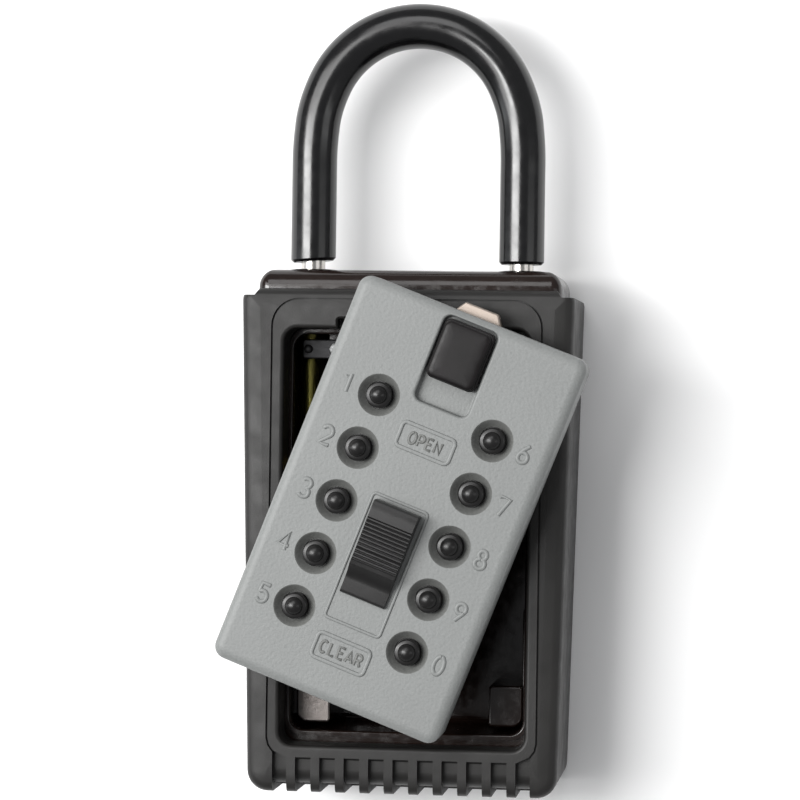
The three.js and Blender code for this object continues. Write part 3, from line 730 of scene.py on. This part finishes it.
def leg_bosses(mesh):
    for side in (-1, 1):
        rings = [(6.6, -1), (6.4, 0.2), (5.9, 0.55), (4, 0.6)]
        loft(mesh, [[(x, case_high.y + rise, z) for x, z in circle(side * LEG_X, LEG_Z, r)][::-1]
                    for r, rise in rings])


def rim_step(mesh):
    """The ledge outside the bead."""
    outer, inner = rectangle(-37, 37, -60, 57.9), rectangle(-32, 32, -52.1, 54.1)
    low, high = RIM_Z - RIM_DROP, RIM_Z + 1
    section = ((inner, low), (outer, low), (outer, high), (inner, high))
    loft(mesh, [[(x, y, z) for x, y in rounded_polygon(corners, 4.6)] for corners, z in section], loop=True)


def key_cavity(mesh):
    lip = 0.5
    profile = arc_in(2, FLOOR_Z, rising=False) + flare_out(lip, RIM_Z, steps=3) + [(-lip, RIM_Z + 12)]
    stack(mesh, CAVITY, 3.7, profile, steps=8)


case = make_object("case", case_tub)
boolean(case, "UNION", case_head)
boolean(case, "UNION", leg_bosses)
boolean(case, "DIFFERENCE", rim_step)
boolean(case, "DIFFERENCE", key_cavity)
print("case tub and head:", len(case.data.polygons), "faces")

# %% [markdown]
# ### Lugs, bosses and bolt way
# Two lugs on webs, two bosses for the strike bar and a low rib that guides the cover stand in the cavity,
# so they are joined after it is cut. The bores of the legs and the way of the release bolt are cut last, as
# on the real casting.

# %% Lugs, bosses, guide and bolt way
bar_low, bar_high = box_mm("strike_bar")
bolt_low, bolt_high = box_mm("release_bolt")
SCREW_X, BOSS_HALF = 20, 2.3
LUG_X, LUG_Y, LUG_TOP_Z = (20.9, 30.0), (-49.5, -38.7), 26
ON_FLOOR = (0, FLOOR_Z - 1)  # where a casting starts, sunk in the floor
bolt_heights = (bolt_low.z - GAP, bolt_high.z + GAP)
bolt_way = block((3, LEG_X), (59.2, bolt_high.y + GAP), bolt_heights, 0.2, 2)
tab_way = block((bolt_low.x - GAP, bolt_low.x + 7.3), (50, 60), bolt_heights, 0.2, 2)


def lugs(mesh):
    for side in (-1, 1):
        x0, x1 = sorted(side * x for x in LUG_X)
        radii = [3, 1, 1, 1] if side < 0 else [1, 3, 1, 1]
        stack(mesh, rectangle(x0, x1, *LUG_Y), radii, [ON_FLOOR] + arc_in(0.7, LUG_TOP_Z), steps=6)


def lug_webs(mesh):
    for side in (-1, 1):
        x0, x1 = sorted((side * 24.0, side * 31.5))
        stack(mesh, rectangle(x0, x1, -47.5, -40.7), 0.5, [ON_FLOOR, (0, LUG_TOP_Z - 3)], steps=2)


def bosses_and_guide(mesh):
    for side in (-1, 1):
        x = side * SCREW_X
        outline = rectangle(x - BOSS_HALF, x + BOSS_HALF, bar_low.y - 1, 54)
        stack(mesh, outline, 1, [ON_FLOOR, (0, bar_low.z - GAP)], steps=4)
    stack(mesh, rectangle(29.6, 31.7, -39.7, -18.7), 0.5, [ON_FLOOR] + arc_in(0.4, 24), steps=3)


def leg_holes(mesh):
    """Bores for both legs; the left one runs on as a shallow channel down the cavity wall."""
    bore = WIRE / 2 + GAP
    for side, start in ((-1, shackle_low.y - 2), (1, 50)):
        rings = ((bore, start), (bore, case_high.y + 0.2), (bore + 0.4, case_high.y + 0.6), (bore + 0.4, 75))
        loft(mesh, [[(x, y, z) for x, z in circle(side * LEG_X, LEG_Z, r)][::-1] for r, y in rings])


for build in (lugs, lug_webs, bosses_and_guide):
    boolean(case, "UNION", build)
for build in (leg_holes, bolt_way, tab_way):
    boolean(case, "DIFFERENCE", build)
dress(case, "case", "black_casting", "case_shell")
case.data.materials.append(BARE_ZINC)
for polygon in case.data.polygons:
    spot = polygon.center / MM
    if -LUG_X[1] < spot.x < -LUG_X[0] and LUG_Y[0] < spot.y < LUG_Y[1] and spot.z > LUG_TOP_Z - 0.25:
        polygon.material_index = 1  # keys dropped here have worn the coat off the left lug

# %% [markdown]
# ## Strike bar and its screws
# The latch bolt catches on a pressed steel bar across the top of the cavity. Two slotted dome-head screws
# hold it, and a small rivet marks each end. A phosphate leaves it oil-dark, so that it does not glare.

# %% Strike bar
RIVET_X = 27.6
bar_y = (bar_low.y + bar_high.y) / 2


def strike(mesh):
    profile = arc_in(0.5, bar_low.z, rising=False, steps=3) + arc_in(0.5, bar_high.z, steps=3)
    stack(mesh, rectangle(bar_low.x, bar_high.x, bar_low.y, bar_high.y), 0.9, profile, steps=5)


def strike_holes(mesh):
    for side in (-1, 1):
        turned(mesh, side * SCREW_X, bar_y, [(1.4, bar_low.z - 1), (1.4, bar_high.z + 1)], 24)


def strike_rivets(mesh):
    for side in (-1, 1):
        top = bar_high.z
        rivet = [(0.9, top - 1), (1.15, top), (1.15, top + 0.3), (0.9, top + 0.55), (0.3, top + 0.68)]
        turned(mesh, side * RIVET_X, bar_y, rivet, 32)


strike_bar = make_object("strike_bar_piece", strike)
boolean(strike_bar, "UNION", strike_rivets)
boolean(strike_bar, "DIFFERENCE", strike_holes)
dress(strike_bar, "case", "zinc_plated_steel", "strike_bar", finish=PHOSPHATED)

for word in ("left", "right"):
    low, high = box_mm(f"strike_screw_{word}")
    middle = (low + high) / 2

    def dome_screw(mesh):
        top = high.z
        shank = [(1.1, low.z), (1.1, top - 1.1)]
        head = [(1.9, top - 1.1), (1.9, top - 0.6), (1.7, top - 0.25), (1.1, top - 0.03), (0.3, top)]
        turned(mesh, middle.x, middle.y, shank + head, 32)

    driver_slot = block((middle.x - 3, middle.x + 3), (middle.y - 0.25, middle.y + 0.25),
                        (high.z - 0.5, high.z + 1), 0.05, 1)
    screw = make_object(f"dome_screw_{word}", dome_screw)
    boolean(screw, "DIFFERENCE", driver_slot)
    dress(screw, "case", "zinc_plated_steel", f"strike_screw_{word}")

# %% [markdown]
# ## Shackle and sleeve
# The shackle is quarter-inch steel wire bent to a half circle on two legs. The left leg is long and stays
# in the case. The right leg is short and has a notch for the release bolt. A black vinyl sleeve covers the
# bow, cut by hand a little out of square. One path serves both, with the sleeve as a tube round the bar.

# %% Bars along the shackle path
sleeve_low, sleeve_high = box_mm("shackle_sleeve")
SLEEVE_R = (sleeve_high.z - sleeve_low.z) / 2
BOW_R = 26.3
BOW_Y = sleeve_high.y - SLEEVE_R - BOW_R
FLARE = (-9, 11)  # below and above the bow's centre, where the legs spread to their bores
SHORT_LEG_END = 56
YELLOW_BELOW = 55  # the passivated part of the long leg, which the case hides while it is locked
SLEEVE_SLIP = 0.7  # how far the soft sleeve has slipped down the legs
CUT_SLANT, CUT_SHORT = 0.07, 0.4  # the left end's slope, and how much shorter it is
bolt_notch = block((LEG_X - WIRE, LEG_X - 0.2), (bolt_high.y - 3.9, bolt_high.y + 0.9),
                   (LEG_Z - WIRE, LEG_Z + WIRE), 0.3, 3)


def spread(y):
    """How far a leg stands outside the bow's half circle at height y."""
    share = min(1, max(0, (BOW_Y + FLARE[1] - y) / (FLARE[1] - FLARE[0])))
    return (LEG_X - BOW_R) * share * share * (3 - 2 * share)


def shackle_path(left_end, right_end, bow_steps=48, leg_steps=24):
    """Up the left leg, round the bow and down the right leg."""
    turns = [pi - pi * i / bow_steps for i in range(bow_steps + 1)]
    left = [(-BOW_R, left_end + (BOW_Y - left_end) * i / leg_steps) for i in range(leg_steps)]
    bend = [(BOW_R * cos(t), BOW_Y + BOW_R * sin(t)) for t in turns]
    right = [(BOW_R, BOW_Y + (right_end - BOW_Y) * i / leg_steps) for i in range(1, leg_steps + 1)]
    return [(x + copysign(spread(y), x), y, LEG_Z) for x, y in left + bend + right]


def bar(mesh):
    sweep(mesh, shackle_path(shackle_low.y, SHORT_LEG_END), WIRE / 2, 40)


def sleeve_tube(mesh):
    end = sleeve_low.y - SLEEVE_SLIP
    sweep(mesh, shackle_path(end, end, bow_steps=64), SLEEVE_R, 48, bore=WIRE / 2 + GAP)


shackle = make_object("shackle_bar", bar)
boolean(shackle, "DIFFERENCE", bolt_notch)
dress(shackle, "shackle_set", "bright_steel", "shackle")
shackle.data.materials.append(YELLOW_ZINC)
for polygon in shackle.data.polygons:
    if polygon.center.x < 0 and polygon.center.y < YELLOW_BELOW * MM:
        polygon.material_index = 1

sleeve = make_object("vinyl_sleeve", sleeve_tube)
for vertex in sleeve.data.vertices:
    from_end = vertex.co.y / MM - sleeve_low.y + SLEEVE_SLIP
    if vertex.co.x < 0 and from_end < 1:
        vertex.co.y += CUT_SLANT * (vertex.co.x + LEG_X * MM) + CUT_SHORT * MM
dress(sleeve, "shackle_set", "vinyl_sleeve", "shackle_sleeve")

# %% [markdown]
# ## The cover
# The cover is a shallow zinc casting whose face rolls off at the edge in a soft quarter ellipse. Ten
# dishes, which are cones that end in a bore, take the buttons, and a deep pocket takes the latch pad.

# %% Cover shell
cover_low, cover_high = box_mm("cover_shell", COVER)
face = cover_high.z
half_w, half_h = cover_high.x, cover_high.y
WALL = 2.2
ceiling = face - WALL
DIGITS = "1234567890"
key_at = {}
for digit in DIGITS:
    low, high = box_mm(f"button_{digit}", COVER)
    key_at[digit] = ((low.x + high.x) / 2, (low.y + high.y) / 2)
bolt_out_low, bolt_out_high = box_mm("latch_bolt", COVER)
thumb_low, thumb_high = box_mm("thumb_latch", COVER)
POCKET = rectangle(-7.25, 7.25, 27.4, 50.5)
POCKET_FLOOR, POCKET_LIP = 12.4, 0.7
EDGE_IN, EDGE_DOWN = 2.7, 1.9
DISH_R = 5.4
SCREW_PLACES = [(sx * 25, sy * 46) for sx in (-1, 1) for sy in (-1, 1)]
print("cover", round(2 * half_w, 1), "x", round(2 * half_h, 1), "x", round(face, 1), "mm")


def cover_body(mesh):
    wall = [(0.4, 0), (0, 0.4), (0, 6)]
    edge = [(EDGE_IN * (1 - cos(t)), face - EDGE_DOWN * (1 - sin(t))) for t in quarter(10)]
    stack(mesh, rectangle(-half_w, half_w, -half_h, half_h), 3.3, wall + edge, steps=8)


def cover_hollow(mesh):
    stack(mesh, rectangle(-half_w + WALL, half_w - WALL, -half_h + WALL, half_h - WALL), 1.4,
          [(-0.3, -1), (-0.3, 0), (0, 0.4), (0, ceiling)], steps=4)


def cover_inside(mesh):
    """The pocket's walls and the screw bosses, seen from behind."""
    heights = [(0, POCKET_FLOOR - 1.9), (0, ceiling + 0.5)]
    stack(mesh, rectangle(-8.65, 8.65, 26, half_h - WALL + 0.5), 1, heights, steps=3)
    for x, y in SCREW_PLACES:
        turned(mesh, x, y, [(3.2, 3.7), (3.2, ceiling + 0.5)], 32)


def key_dishes(mesh):
    for x, y in key_at.values():
        bore = [(3.6, ceiling - 1), (3.6, face - 2.0), (3.75, face - 1.9)]
        cone = [(5.0, face - 0.4), (5.2, face - 0.12), (DISH_R, face), (DISH_R, face + 1)]
        turned(mesh, x, y, bore + cone, 64)


def thumb_pocket(mesh):
    foot = arc_in(0.5, POCKET_FLOOR, rising=False, steps=3)
    lip = flare_out(POCKET_LIP, face) + [(-POCKET_LIP, face + 1)]
    stack(mesh, POCKET, 2.0, foot + lip, steps=8)


def cover_slots(mesh):
    """Slots for the two stems, the bolt and the two hooks of the case, and the screw holes."""
    pad_slot = [(0, POCKET_FLOOR - 4), (0, POCKET_FLOOR + 1)]
    stack(mesh, rectangle(-2.9, 2.9, 35.2, 46.8), 0.4, pad_slot, steps=2)
    stack(mesh, rectangle(-2.2, 2.2, -20.3, -7.7), 0.4, [(0, ceiling - 2), (0, face + 1)], steps=2)
    bolt_slot = [(0, bolt_out_low.z - GAP), (0, bolt_out_high.z + GAP)]
    stack(mesh, rectangle(-6.5, 6.5, half_h - WALL - 1, half_h + 1), 0.1, bolt_slot, steps=1)
    for side in (-1, 1):
        x0, x1 = sorted((side * 19.7, side * 28.3))
        hook_slot = rectangle(x0, x1, -half_h - 1, -half_h + WALL + 0.5)
        stack(mesh, hook_slot, 0.1, [(0, -1), (0, 3.7)], steps=1)
    for x, y in SCREW_PLACES:
        turned(mesh, x, y, [(1.75, 0), (1.75, 9.6)], 24)


cover = make_object("cover_casting", cover_body, COVER)
boolean(cover, "DIFFERENCE", cover_hollow, COVER)
boolean(cover, "UNION", cover_inside, COVER)
for build in (key_dishes, thumb_pocket, cover_slots):
    boolean(cover, "DIFFERENCE", build, COVER)
dress(cover, "cover", "grey_powder_coat", "cover_shell", sharp=30)
# Painted shade: the faces inside the button dishes get the darker coat.
cover.data.materials.append(PAINTED_SHADE_COAT)
bench = COVER.inverted()
for polygon in cover.data.polygons:
    spot = bench @ (polygon.center / MM)
    in_shaded_dish = any(hypot(spot.x - x, spot.y - y) < DISH_R - 0.05 for x, y in key_at.values())
    if in_shaded_dish and ceiling < spot.z < face - 0.02:
        polygon.material_index = 1

# %% [markdown]
# ### Cast lettering
# Digits and words are drawn with straight lines and arcs on a grid one wide and one and a half high. Each
# stroke is a round bar sunk in the face, so that only a low rounded ridge stands up, as on a real casting.
# Raised frames go round the words and the slider.

# %% Strokes of the plain lettering
DIGIT_OUT = 8.6  # from a button's centre to its digit
DIGIT_STROKE, WORD_STROKE = 0.68, 0.46


def bow(x, y, rx, ry, start, end, steps=14):
    """An arc round (x, y), with its angles in degrees."""
    turns = [radians(start + (end - start) * i / steps) for i in range(steps + 1)]
    return [(x + rx * cos(t), y + ry * sin(t)) for t in turns]


STROKES = {
    "0": [bow(0.5, 0.75, 0.4, 0.75, 90, 450, 28)],
    "1": [[(0.3, 1.15), (0.6, 1.5), (0.6, 0)]],
    "2": [bow(0.5, 1.06, 0.42, 0.44, 165, -35) + [(0.08, 0), (0.95, 0)]],
    "3": [bow(0.48, 1.12, 0.38, 0.38, 150, -80) + bow(0.48, 0.37, 0.42, 0.38, 80, -150)],
    "4": [[(0.72, 0), (0.72, 1.5), (0.05, 0.42), (0.98, 0.42)]],
    "5": [[(0.88, 1.5), (0.2, 1.5), (0.13, 0.82)] + bow(0.48, 0.46, 0.42, 0.46, 125, -150)],
    "6": [[(0.78, 1.5), (0.35, 1.0)] + bow(0.5, 0.42, 0.4, 0.42, 140, 500, 24)],
    "7": [[(0.08, 1.5), (0.92, 1.5), (0.4, 0)]],
    "8": [bow(0.5, 1.14, 0.33, 0.36, 270, 630, 24), bow(0.5, 0.4, 0.42, 0.4, 90, 450, 24)],
    "9": [bow(0.5, 1.08, 0.4, 0.42, -40, 320, 24) + [(0.3, 0)]],
    "O": [bow(0.5, 0.75, 0.45, 0.75, 90, 450, 28)],
    "P": [[(0.12, 0), (0.12, 1.5), (0.5, 1.5)] + bow(0.5, 1.08, 0.4, 0.42, 90, -90, 10) + [(0.12, 0.66)]],
    "E": [[(0.88, 1.5), (0.12, 1.5), (0.12, 0), (0.88, 0)], [(0.12, 0.78), (0.75, 0.78)]],
    "N": [[(0.1, 0), (0.1, 1.5), (0.9, 0), (0.9, 1.5)]],
    "C": [bow(0.52, 0.75, 0.44, 0.75, 50, 310, 20)],
    "L": [[(0.15, 1.5), (0.15, 0), (0.85, 0)]],
    "A": [[(0.05, 0), (0.5, 1.5), (0.95, 0)], [(0.22, 0.5), (0.78, 0.5)]],
    "R": [[(0.12, 0), (0.12, 1.5), (0.5, 1.5)] + bow(0.5, 1.1, 0.38, 0.4, 90, -90, 10) + [(0.12, 0.7)],
          [(0.5, 0.7), (0.9, 0)]],
}


def cast_text(mesh, text, x, y, height, pitch, stroke):
    """Text centred on (x, y): bars of `stroke` mm radius whose centre line lies under the face."""
    scale = height / 1.5
    left = x - (pitch * (len(text) - 1) + scale) / 2
    for index, letter in enumerate(text):
        for points in STROKES[letter]:
            path = [(left + index * pitch + px * scale, y - height / 2 + py * scale, face - stroke * 0.42)
                    for px, py in points]
            sweep(mesh, path, stroke, 10)


def raised_frame(mesh, x0, x1, y0, y1, radius, width, rise=0.4):
    """A low flat ridge round a rounded rectangle, with soft shoulders."""
    soft = 0.2
    profile = [(0, face - 0.3), (0, face + rise - soft), (soft, face + rise), (width - soft, face + rise),
               (width, face + rise - soft), (width, face - 0.3)]
    stack(mesh, rectangle(x0, x1, y0, y1), radius, profile, steps=6, loop=True)


def digits(mesh):
    for digit, (x, y) in key_at.items():
        cast_text(mesh, digit, x + copysign(DIGIT_OUT, x), y, 4.7, 0, DIGIT_STROKE)


def words(mesh):
    cast_text(mesh, "OPEN", 0, 18.0, 2.9, 2.3, WORD_STROKE)
    cast_text(mesh, "CLEAR", 0.1, -39.4, 3.0, 2.36, WORD_STROKE)


def frames(mesh):
    raised_frame(mesh, -7.65, 7.65, 14.35, 21.85, 1.7, 1.0)
    raised_frame(mesh, -7.65, 7.65, -43.2, -35.6, 1.7, 1.0)
    raised_frame(mesh, -7.9, 7.9, -32.5, 2.1, 1.4, 0.8)


cast_digits = make_object("cast_digits", digits, COVER)
dress(cast_digits, "cover", "grey_powder_coat", sharp=60)
cast_words = make_object("cast_words", words, COVER)
# The words get the darker coat, which is painted shade on their strokes.
dress(cast_words, "cover", "grey_powder_coat", sharp=60, finish=PAINTED_SHADE_COAT)
cast_frames = make_object("cast_frames", frames, COVER)
dress(cast_frames, "cover", "grey_powder_coat", sharp=50)

# %% [markdown]
# ## Buttons
# Each button is a turned shape: a flange that keeps it in the cover, a straight barrel, a sloping brim and a
# small dome for the fingertip. All ten are alike, so one profile is turned at each place, as on a lathe.

# %% Ten domed buttons
button_low, button_high = box_mm("button_1", COVER)
FLANGE_R, FLANGE_THICK, BARREL_R = 4.4, 0.8, 3.3
DOME_R, DOME_RISE = 2.2, 1.7


def button_profile():
    top, flange_top = button_high.z, button_low.z + FLANGE_THICK
    flange = [(FLANGE_R, button_low.z), (FLANGE_R, flange_top), (BARREL_R, flange_top)]
    brim = [(BARREL_R, top - 2.6), (3.26, top - 2.3), (3.14, top - 2.08), (2.95, top - 1.98),
            (2.6, top - 1.9), (2.28, top - 1.84)]
    turns = [radians(angle) for angle in range(4, 86, 9)]
    dome = [(DOME_R * cos(t), top - DOME_RISE + DOME_RISE * sin(t)) for t in turns]
    return flange + brim + dome + [(0.06, top)]


profile = button_profile()
for digit, (x, y) in key_at.items():
    button = make_object(f"push_button_{digit}", lambda mesh: turned(mesh, x, y, profile, 48), COVER)
    dress(button, f"key_{digit}", "black_plastic", f"button_{digit}", sharp=40)

# %% [markdown]
# ## Latch pad
# The latch pad is a moulded block with a low shoulder and a raised thumb face that rolls off all round. Its
# stem reaches through the pocket to the latch bolt. The three are lofts, joined.

# %% Latch pad
PAD_CORNER = 1.9
SHOULDER_DROP = 1.3
thumb_stem = block((-2.6, 2.6), (41.5, 46.5), (thumb_low.z, POCKET_FLOOR + 1.5), 0.4, 2)


def thumb_base(mesh):
    corners = rectangle(thumb_low.x, thumb_high.x, thumb_low.y, thumb_high.y)
    foot = [(0.3, POCKET_FLOOR + GAP), (0, POCKET_FLOOR + GAP + 0.3)]
    stack(mesh, corners, PAD_CORNER, foot + arc_in(0.4, thumb_high.z - SHOULDER_DROP), steps=8)


def thumb_crown(mesh):
    """The raised thumb face, set towards the lower left of its base, with a large soft edge."""
    top = thumb_high.z
    corners = rectangle(thumb_low.x + 0.2, thumb_high.x - 0.5, thumb_low.y + 0.2, thumb_high.y - 0.5)
    drops = [(0, 2), (0, 1.0), (0.06, 0.72), (0.2, 0.45), (0.44, 0.25), (0.8, 0.12), (1.4, 0.05), (2.4, 0.02)]
    stack(mesh, corners, PAD_CORNER, [(inset, top - drop) for inset, drop in drops] + [(3.6, top)], steps=8)


thumb = make_object("latch_pad", thumb_base, COVER)
boolean(thumb, "UNION", thumb_crown, COVER)
boolean(thumb, "UNION", thumb_stem, COVER)
dress(thumb, "latch", "black_plastic", "thumb_latch", sharp=40, finish=THUMBED_ABS)

# %% [markdown]
# ## Clear slider
# The slider has one side shape all the way across: a flat top, a hollow ramp with eleven fine grip ridges,
# a steep step and a low foot. So its outline is pulled along X, and its long edges get a small bevel.

# %% Clear slider
slider_low, slider_high = box_mm("clear_slider", COVER)
SLIDER_BASE = 15.5
RIDGES, RIDGE_PITCH, RIDGE_DEPTH = 11, 1.04, 0.26
RAMP_START = 4.6  # from the upper end to the first ridge
slider_stem = block((-1.9, 1.9), (-14, -8), (slider_low.z, SLIDER_BASE + 0.5), 0.4, 2)


def slider_outline():
    """Side outline (y, z), anticlockwise seen from +X, with ridges down the hollow ramp."""
    y_top, y_foot, z_top = slider_high.y, slider_low.y, slider_high.z
    first = y_top - RAMP_START
    line = [(y_foot, SLIDER_BASE), (y_top, SLIDER_BASE), (y_top, z_top - 1.2), (y_top - 0.35, z_top - 0.5),
            (y_top - 1.2, z_top - 0.12), (y_top - 2.5, z_top), (first, z_top - 0.05)]
    for i in range(RIDGES):
        y = first - i * RIDGE_PITCH
        share = (i + 0.5) / RIDGES
        z = z_top - 0.15 - 1.5 * sin(pi * share * 0.62) + 0.1 * share
        line += [(y, z - RIDGE_DEPTH), (y - 0.3, z), (y - 0.62, z), (y - 0.92, z - RIDGE_DEPTH)]
    crest = first - RIDGES * RIDGE_PITCH
    line += [(crest - 0.3, z_top - 1.45), (crest - 1.2, z_top - 1.6), (crest - 2.0, z_top - 2.3),
             (crest - 3.4, z_top - 3.75), (crest - 4.4, z_top - 4.25), (crest - 5.4, z_top - 4.42)]
    line += [(y_foot + 0.9, z_top - 4.5), (y_foot + 0.25, z_top - 4.75), (y_foot, z_top - 5.3)]
    return line


def slider_body(mesh):
    along_x(mesh, slider_outline(), slider_low.x, slider_high.x)


slider = make_object("ribbed_slider", slider_body, COVER)
soften(slider, 0.2, segments=3, angle=65)
boolean(slider, "UNION", slider_stem, COVER)
dress(slider, "clear", "black_plastic", "clear_slider", sharp=28)

# %% [markdown]
# ## Latch bolt
# The latch bolt is a plated casting. Only its nose shows at the cover's top edge. One outline is lofted
# through its thickness, and its edges get a generous bevel, because tumbling and plating round them.

# %% Latch bolt
NOSE_HALF = 4.45


def bolt_body(mesh):
    wide, tip = bolt_out_high.x, NOSE_HALF
    back, edge, nose = bolt_out_low.y, half_h, bolt_out_high.y
    low, high = bolt_out_low.z, bolt_out_high.z
    outline = [(-wide, back), (wide, back), (wide, edge), (tip, nose), (-tip, nose), (-wide, edge)]
    loft(mesh, [[(x, y, z) for x, y in outline] for z in (low, high)])


latch_bolt = make_object("plated_bolt", bolt_body, COVER)
soften(latch_bolt, 0.45, segments=3, angle=35)
dress(latch_bolt, "latch", "nickel_plate", "latch_bolt")

# %% [markdown]
# ## Springs
# Each button has a return spring of drawn wire, hidden in the cover and as long as its CAD box is high. The
# other springs are helices in the CAD model already and keep that shape.

# %% Coil springs
def coil(mesh, length, radius, wire, turns):
    """A helix about Z from 0 to length."""
    steps = int(turns * 20)
    path = []
    for i in range(steps + 1):
        share = i / steps
        z = wire + (length - 2 * wire) * share
        angle = 2 * pi * turns * share
        path.append((radius * cos(angle), radius * sin(angle), z))
    sweep(mesh, path, wire, 8)


COIL_R, COIL_WIRE, COIL_TURNS = 2.6, 0.2, 3
for digit in DIGITS:
    node = f"button_spring_{digit}"
    low, high = box_mm(node, COVER)
    x, y = key_at[digit]
    place = COVER @ Matrix.Translation((x, y, low.z))
    length = high.z - low.z
    spring = make_object(f"key_spring_{digit}",
                         lambda mesh: coil(mesh, length, COIL_R, COIL_WIRE, COIL_TURNS), place)
    dress(spring, "cover", "bright_steel", node, sharp=60)

# %% [markdown]
# ## Finish the inner pieces
# The plates, pins and screws of the mechanism keep their CAD shape, which is right, and get the finish that
# their slot in the record names.

# %% Finishes on the remaining CAD nodes
slot_of = {part["node"]: part["material_slot"] for part in frame["record"]["subparts"]}
dressed = 0
for name, node in frame["nodes"].items():
    for material_slot in node.material_slots:
        material_slot.material = FINISH[slot_of[name]]
        dressed += 1
print("CAD nodes with a finish:", dressed)
